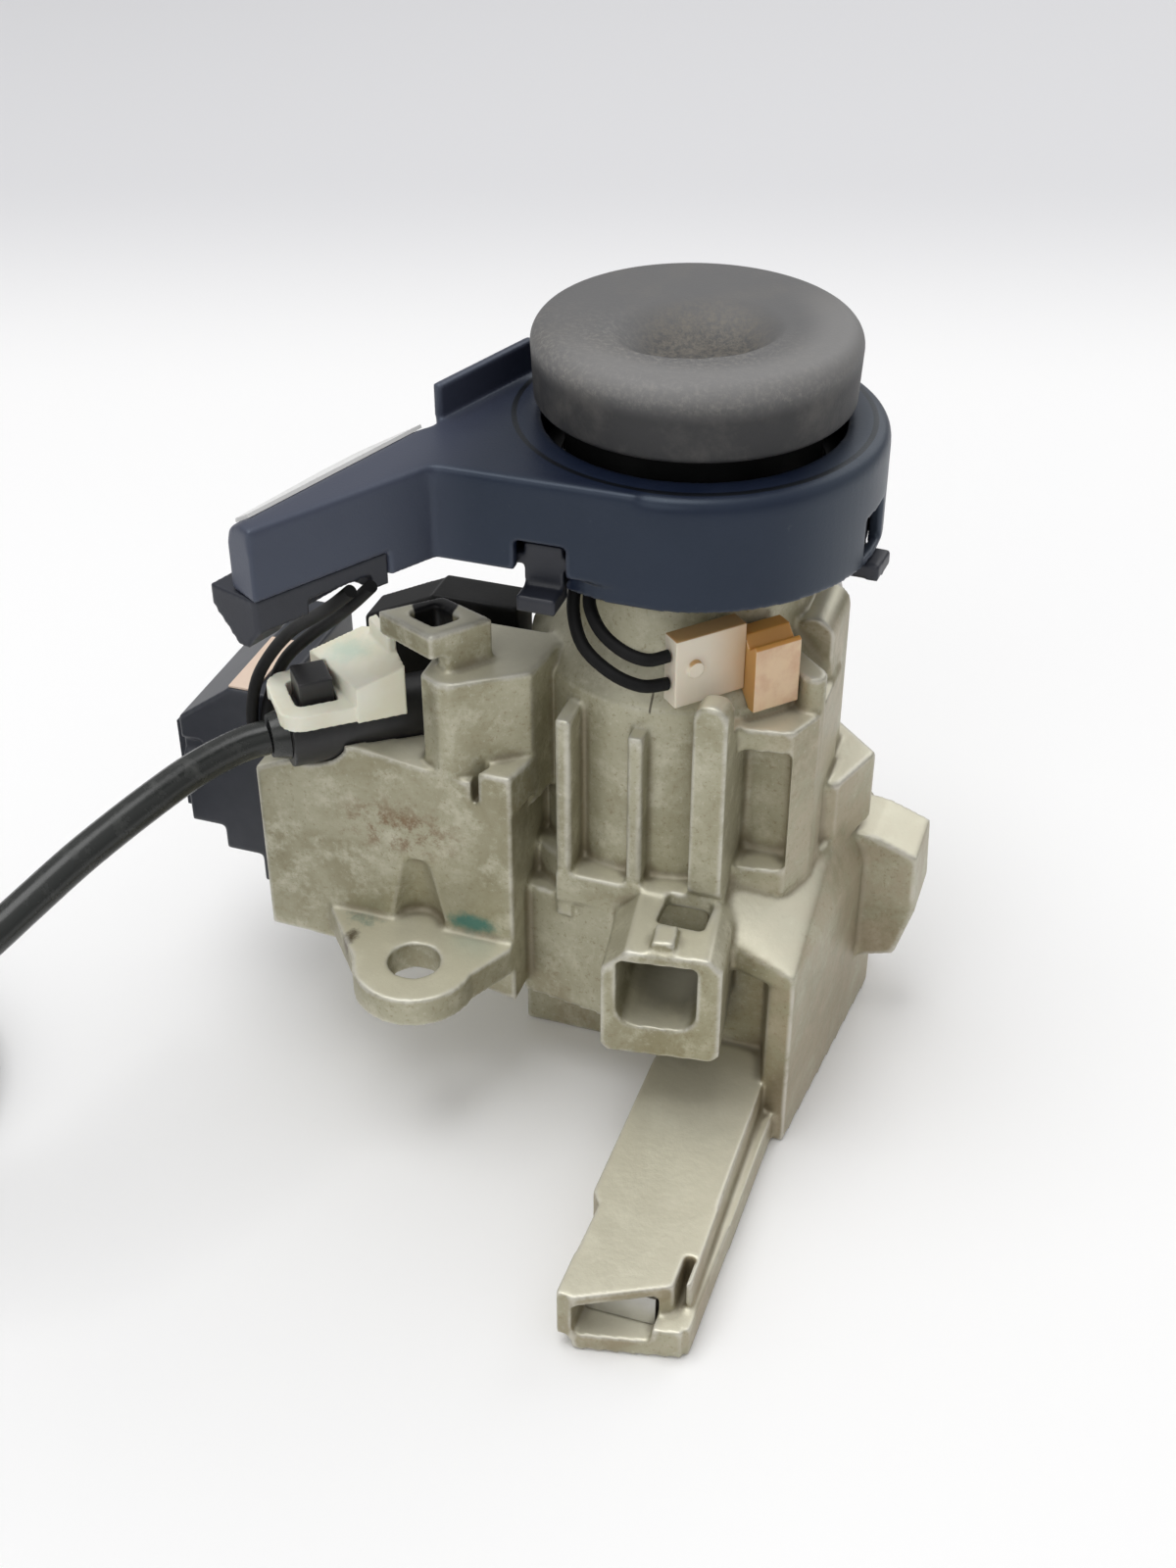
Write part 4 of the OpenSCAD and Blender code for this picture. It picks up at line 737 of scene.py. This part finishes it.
# %% [markdown]
# ## Clip, fitting and shroud
# The cable's clip has a sloping cap with a fin at its back and a loop that snaps over the fitting's tongue.
# It is built from blocks in the cable's own frame, whose X runs along the cable. The fitting keeps its CAD
# shape, with the tongue moved into the loop. The black shroud behind the turret has no CAD node and is a
# block with one sloping end; its near-black finish is darker than black plastic, as painted shade.


# %% Clip, fitting and shroud
def round_end(start, end, half, corner):
    """An outline with a straight end at one X and two rounded corners at the other."""
    turns = [math.radians(-90 + 15 * i) for i in range(13)]
    bow = []
    for a in turns:
        side = math.copysign(half - corner, math.sin(a)) if abs(math.sin(a)) > 0.01 else 0
        bow.append((end - corner + corner * math.cos(a), side + corner * math.sin(a)))
    return [(start, -half), *bow, (start, half)]


cable_frame = Matrix.Translation((-40, -22, 57.4)) @ Matrix.Rotation(math.radians(219), 4, "Z")
clip_foot = 3.8
cap_top, cap_fall = 10.7, 0.306
cap_outline = [(7.3, -7), (-0.7, -7), (-2.4, -5), (-3.2, 0), (-3, 7), (4.1, 7)]
fin_outline = [(-3.2, 2.4), (-2.0, 2.4), (-1.0, -4.4), (-2.4, -5)]
cap = prism(cap_outline, clip_foot, cap_top, cap_fall, cable_frame)
loop = prism(round_end(0, 14.6, 6.5, 3.4), clip_foot, 6.2, 0, cable_frame)
loop_hole = prism(round_end(5.9, 12, 3.6, 1.2), -1, 9.6, 0, cable_frame)
fin = prism(fin_outline, 8, 13.6, 0, cable_frame)
bore_r, bore_half = 5.1, 30
ring_turns = [math.radians(10 * i) for i in range(36)]
bore = prism([(bore_r * math.cos(a), bore_r * math.sin(a)) for a in ring_turns], -bore_half, bore_half, 0,
             cable_frame @ Matrix.Rotation(math.radians(90), 4, "Y"))
clip_shape = shaped(shaped(cap, [loop, fin], "UNION"), [loop_hole, bore], "DIFFERENCE")
rounded("cable_clip", 0.2, 2, nylon, shape=clip_shape)
old_tongue = prism(rectangle(4, -2.8, 9.6, 2.8), 5.05, 9.4, 0, cable_frame)
tongue = prism(rectangle(6.3, -2.9, 11.2, 2.9), 2, 9.2, 0, cable_frame)
rounded("cable_end", 0.25, 2, black_skin, taken=[old_tongue], added=[tongue])
shroud_near, shroud_far, shroud_foot = -8.6, -2, 50
shroud_slope = prism(rectangle(-47, shroud_near, -36, shroud_far), shroud_foot, 87.6, -0.48)
shroud_block = prism(rectangle(-36.2, shroud_near, -23, shroud_far), shroud_foot, 70.6)
shroud_shape = shaped(shroud_slope, [shroud_block], "UNION")
# The shroud's near-black finish is darker than black plastic, as painted shade.
rounded(None, 0.35, 3, black_and_painted_shade, shape=shroud_shape, name="turret_shroud")

# %% [markdown]
# ## Knob
# The knob's cap is turned on a lathe with a finger scoop in its top. A grid of rings follows the profile from
# the lower rim over the side and crown to the middle, and each point of the top is pushed down by the
# scoop's own depth there, which is steep on the near side and gentle at the back.

# %% Turn the knob
knob_low, knob_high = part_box("knob_cap")
knob_r = knob_high.x
rim_z = knob_low.z


scoop_turn = (0.82, 0.57)
scoop_off = (0.9 * MM, 1.2 * MM)
scoop_half = (12.2 * MM, 10.4 * MM)
scoop_deep = 3.8 * MM
dish_r, dish_deep = 17.8 * MM, 0.7 * MM
inside_up = 0.3 * MM


def scoop(x, y):
    """Depth of the finger scoop under the crown, in metres."""
    across = scoop_turn[0] * x + scoop_turn[1] * y + scoop_off[0]
    along = -scoop_turn[1] * x + scoop_turn[0] * y + scoop_off[1]
    reach = math.hypot(across / scoop_half[0], along / scoop_half[1])
    if reach >= 1:
        return 0.0
    near = -along / max(math.hypot(across, along), 0.01 * MM)
    t = min((1 - reach) / (0.60 - 0.28 * near), 1)
    crisp = max(near, 0)
    t = (1 - crisp) * t * t * (3 - 2 * t) + crisp * math.sin(t * math.pi / 2)
    return scoop_deep * t


def top_drop(x, y, radius, height):
    """How far a point of the top lies under the flat: a shallow dish with the scoop in it."""
    if height <= knob_high.z - 0.5 * MM:
        return 0
    on_flat = height >= knob_high.z - 1e-6
    dish = dish_deep * max(0.0, 1 - (radius / dish_r) ** 2) if on_flat else 0
    return scoop(x, y) + dish


def knob_profile():
    """Radius and height from the lower inside edge to the middle of the top."""
    taper = 0.35 * MM
    crown_r = 2.8 * MM
    lip = 0.8 * MM
    points = [(knob_r - 5 * MM, rim_z + inside_up), (knob_r - 2.6 * MM, rim_z)]
    for i in range(7):
        a = -math.pi / 2 + i / 6 * math.pi / 2
        points.append((knob_r - taper - lip + lip * math.cos(a), rim_z + lip + lip * math.sin(a)))
    side_top = knob_high.z - crown_r
    for i in range(1, 8):
        t = i / 8
        points.append((knob_r - taper * (1 - t), rim_z + lip + (side_top - rim_z - lip) * t))
    for i in range(0, 13):
        a = i / 12 * math.pi / 2
        points.append((knob_r - crown_r + crown_r * math.cos(a), side_top + crown_r * math.sin(a)))
    rings = 44
    flat_r = knob_r - crown_r
    for i in range(1, rings):
        points.append((flat_r * (1 - i / rings), knob_high.z))
    return points


def turned_knob(name):
    """A closed mesh of rings round the axis, with its top pressed in."""
    segments = 144
    work = bmesh.new()
    rings = []
    for radius, height in knob_profile():
        ring = []
        for k in range(segments):
            a = 2 * math.pi * k / segments
            x = radius * math.cos(a)
            y = radius * math.sin(a)
            ring.append(work.verts.new((x, y, height - top_drop(x, y, radius, height))))
        rings.append(ring)
    for lower_ring, upper_ring in zip(rings, rings[1:]):
        for k in range(segments):
            n = (k + 1) % segments
            work.faces.new((lower_ring[k], lower_ring[n], upper_ring[n], upper_ring[k]))
    middle = work.verts.new((0, 0, knob_high.z - scoop(0, 0) - dish_deep))
    for k in range(segments):
        work.faces.new((rings[-1][k], rings[-1][(k + 1) % segments], middle))
    foot = work.verts.new((0, 0, rim_z + inside_up))
    for k in range(segments):
        work.faces.new((rings[0][(k + 1) % segments], rings[0][k], foot))
    bmesh.ops.recalc_face_normals(work, faces=work.faces)
    mesh = bpy.data.meshes.new(name)
    work.to_mesh(mesh)
    work.free()
    mesh.polygons.foreach_set("use_smooth", [True] * len(mesh.polygons))
    thing = bpy.data.objects.new(name, mesh)
    scene.collection.objects.link(thing)
    return thing


knob = turned_knob("knob_cap_turned")
wear(knob, charcoal)
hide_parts("knob_cap")
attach(knob, "knob")
print("knob turned,", len(knob.data.polygons), "faces")

# %% [markdown]
# ## Screws and winding
# Two things here repeat or follow a rule: the two cross-head screws of the switch, and the antenna's winding
# inside the bezel. Each is a Geometry Nodes tree with named sizes. The tree puts one shape on every point of
# a small mesh, or bends a wire along a spiral, and the result is turned into a plain mesh, because the export
# keeps no instances.


# %% Helpers for Geometry Nodes
class Rule:
    """A Geometry Nodes tree with named sizes, and short calls that add nodes to it."""

    def __init__(self, name, **sizes):
        self.tree = bpy.data.node_groups.new(name, "GeometryNodeTree")
        self.tree.interface.new_socket("Points", in_out="INPUT", socket_type="NodeSocketGeometry")
        self.sizes = {}
        for label, value in sizes.items():
            socket = self.tree.interface.new_socket(label, in_out="INPUT", socket_type="NodeSocketFloat")
            socket.default_value = value
            self.sizes[socket.identifier] = value
        self.tree.interface.new_socket("Piece", in_out="OUTPUT", socket_type="NodeSocketGeometry")
        self.given = self.tree.nodes.new("NodeGroupInput").outputs
        self.result = self.tree.nodes.new("NodeGroupOutput").inputs

    def new(self, kind, links=None, **settings):
        node = self.tree.nodes.new(kind)
        for key, value in settings.items():
            setattr(node, key, value)
        for key, value in (links or {}).items():
            if isinstance(value, bpy.types.NodeSocket):
                self.tree.links.new(value, node.inputs[key])
            else:
                node.inputs[key].default_value = value
        return node

    def vector(self, x, y, z):
        return self.new("ShaderNodeCombineXYZ", {"X": x, "Y": y, "Z": z}).outputs[0]

    def times(self, a, b):
        return self.new("ShaderNodeMath", {0: a, 1: b}, operation="MULTIPLY").outputs[0]

    def close(self, shape, finish):
        real = self.new("GeometryNodeRealizeInstances", {"Geometry": shape}).outputs[0]
        done = self.new("GeometryNodeSetMaterial", {"Geometry": real, "Material": finish.material}).outputs[0]
        self.tree.links.new(done, self.result[0])


def grown(name, rule, points, finish, node):
    """Runs a tree on some points in metres and keeps the result as a plain mesh."""
    mesh = bpy.data.meshes.new(name)
    mesh.from_pydata(points, [], [])
    piece = bpy.data.objects.new(name, mesh)
    scene.collection.objects.link(piece)
    step = piece.modifiers.new("rule", "NODES")
    step.node_group = rule.tree
    for identifier, value in rule.sizes.items():
        step[identifier] = value
    piece.data = baked_copy(piece)
    piece.modifiers.clear()
    wear(piece, finish)
    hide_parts(node)
    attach(piece, "housing")
    print(name, "has", len(piece.data.polygons), "faces")


# %% Cross-head screws of the switch
screw_low, screw_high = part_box("switch_screws")
head_r = (screw_high.z - screw_low.z) / 2
head_h = screw_high.x - screw_low.x
pan = Rule("pan_head", Radius=head_r, Height=head_h)
radius, head = pan.given["Radius"], pan.given["Height"]
ball = pan.new("GeometryNodeMeshUVSphere", {"Segments": 40, "Rings": 20, "Radius": radius}).outputs[0]
flat = pan.new("ShaderNodeMath", {0: head, 1: radius}, operation="DIVIDE").outputs[0]
dome = pan.new("GeometryNodeTransform", {"Geometry": ball, "Scale": pan.vector(1, 1, flat)}).outputs[0]
wide = pan.times(radius, 4)
under = pan.new("GeometryNodeMeshCube", {"Size": pan.vector(wide, wide, wide)}).outputs[0]
under = pan.new("GeometryNodeTransform", {"Geometry": under,
                                          "Translation": pan.vector(0, 0, pan.times(radius, -2))}).outputs[0]
arm_l, arm_t, arm_up = pan.times(radius, 1.15), pan.times(radius, 0.3), pan.times(head, 1.2)
cut_a = pan.new("GeometryNodeMeshCube", {"Size": pan.vector(arm_l, arm_t, arm_up)}).outputs[0]
cut_b = pan.new("GeometryNodeMeshCube", {"Size": pan.vector(arm_t, arm_l, arm_up)}).outputs[0]
lifted = []
for cut in (cut_a, cut_b):
    raised = pan.new("GeometryNodeTransform", {"Geometry": cut, "Translation": pan.vector(0, 0, head)})
    lifted.append(raised.outputs[0])
for cutter in (under, *lifted):
    cut_step = pan.new("GeometryNodeMeshBoolean", {"Mesh 1": dome}, operation="DIFFERENCE", solver="EXACT")
    pan.tree.links.new(cutter, cut_step.inputs["Mesh 2"])
    dome = cut_step.outputs["Mesh"]
heads = pan.new("GeometryNodeInstanceOnPoints", {"Points": pan.given["Points"], "Instance": dome,
                                                 "Rotation": (0, -math.pi / 2, 0)}).outputs[0]
pan.close(heads, plate_steel)
screw_z = (screw_low.z + screw_high.z) / 2
screw_points = [(screw_high.x, y, screw_z) for y in (screw_low.y + head_r, screw_high.y - head_r)]
grown("switch_screw_heads", pan, screw_points, plate_steel, "switch_screws")

# %% Winding of the antenna
coil_low, coil_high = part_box("antenna_coil")
strand_r = 0.45 * MM
rounds = int((coil_high.z - coil_low.z) / (2 * strand_r))
winding = Rule("winding", Radius=coil_high.x - strand_r, Strand=strand_r, Turns=float(rounds - 1))
rise = winding.times(winding.given["Turns"], winding.times(winding.given["Strand"], 2))
spiral = winding.new("GeometryNodeCurveSpiral", {
    "Resolution": 64, "Rotations": winding.given["Turns"], "Start Radius": winding.given["Radius"],
    "End Radius": winding.given["Radius"], "Height": rise}).outputs[0]
section = winding.new("GeometryNodeCurvePrimitiveCircle", {"Resolution": 8,
                                                          "Radius": winding.given["Strand"]})
strand = winding.new("GeometryNodeCurveToMesh", {"Curve": spiral, "Profile Curve": section.outputs[0],
                                                 "Fill Caps": True}).outputs[0]
strand = winding.new("GeometryNodeTransform", {"Geometry": strand,
                                               "Translation": (0, 0, coil_low.z + strand_r)}).outputs[0]
winding.close(strand, copper)
grown("antenna_winding", winding, [], copper, "antenna_coil")

# %% [markdown]
# ## Springs
# A coil spring shortens as its joint moves, which a rigid node can't do. Each spring here is a plain copy
# of its CAD mesh in steel, attached to its body.


# %% Springs under the knob and behind the plunger
def springy(node, body):
    """Stands a steel copy of a spring in its place, attached to a body."""
    mesh = merged(bpy.data.objects[node].data.copy())
    piece = bpy.data.objects.new(node + "_wire", mesh)
    scene.collection.objects.link(piece)
    wear(piece, steel)
    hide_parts(node)
    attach(piece, body)
    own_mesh(piece)


springy("knob_spring", "rotor")
springy("plunger_spring", "housing")

# %% [markdown]
# ## Bench, light and background
# The part stands on a pale bench top in a bright tent: a big soft lamp overhead, weaker ones behind and in
# front, and a room that is bright above and dim below. The bench's colour is painted to fade to a cooler grey
# far behind the part: painted shade, as on a paper sweep.

# %% Bench top
bench_mesh = bpy.data.meshes.new("bench_top")
bench_z = -0.0002
bench_mesh.from_pydata([(x, y, bench_z) for x, y in rectangle(-4, -2, 4, 6)], [], [(0, 1, 2, 3)])
bench = bpy.data.objects.new("bench_top", bench_mesh)
scene.collection.objects.link(bench)
paper = Finish("bench_paper", (0.86, 0.86, 0.87), 0.5)
ahead_x, ahead_y = -0.317, 0.948
# The bench is painted to fade to a cooler grey far behind the part: painted shade, as on a paper sweep.
far = paper.math("ADD", paper.times(paper.axis(0), ahead_x), paper.times(paper.axis(1), ahead_y))
paper.paint(paper.mix(paper.band(far, 0.22, 0.40), (0.97, 0.968, 0.965), (0.755, 0.755, 0.77)))
paper.shader.inputs["Specular IOR Level"].default_value = 0.2
wear(bench, paper)
print("bench ready")


# %% Lamps and room
def lamp(name, place, aim, size, power):
    """A round soft lamp that looks at a point."""
    data = bpy.data.lights.new(name, "AREA")
    data.shape = "DISK"
    data.size = size
    data.energy = power
    thing = bpy.data.objects.new(name, data)
    thing.location = place
    thing.rotation_euler = (Vector(aim) - Vector(place)).to_track_quat("-Z", "Y").to_euler()
    scene.collection.objects.link(thing)


lamp("overhead_lamp", (-0.22, -0.10, 1.1), (0, -0.02, 0.04), 0.8, 4.8)
lamp("back_lamp", (0.25, 0.95, 0.75), (0, 0, 0.06), 0.9, 2.3)
lamp("front_lamp", (-0.15, -0.85, 0.55), (0, -0.02, 0.05), 0.7, 1.3)
world = bpy.data.worlds.new("room")
scene.world = world
world.use_nodes = True
room = world.node_tree
background = room.nodes["Background"]
background.inputs["Color"].default_value = (0.99, 0.99, 1.0, 1)
direction = room.nodes.new("ShaderNodeSeparateXYZ")
room.links.new(room.nodes.new("ShaderNodeTexCoord").outputs["Generated"], direction.inputs[0])
above = room.nodes.new("ShaderNodeMapRange")
room.links.new(direction.outputs["Z"], above.inputs["Value"])
above.inputs["To Min"].default_value = 0.30
above.inputs["To Max"].default_value = 0.72
room.links.new(above.outputs["Result"], background.inputs["Strength"])

# %% [markdown]
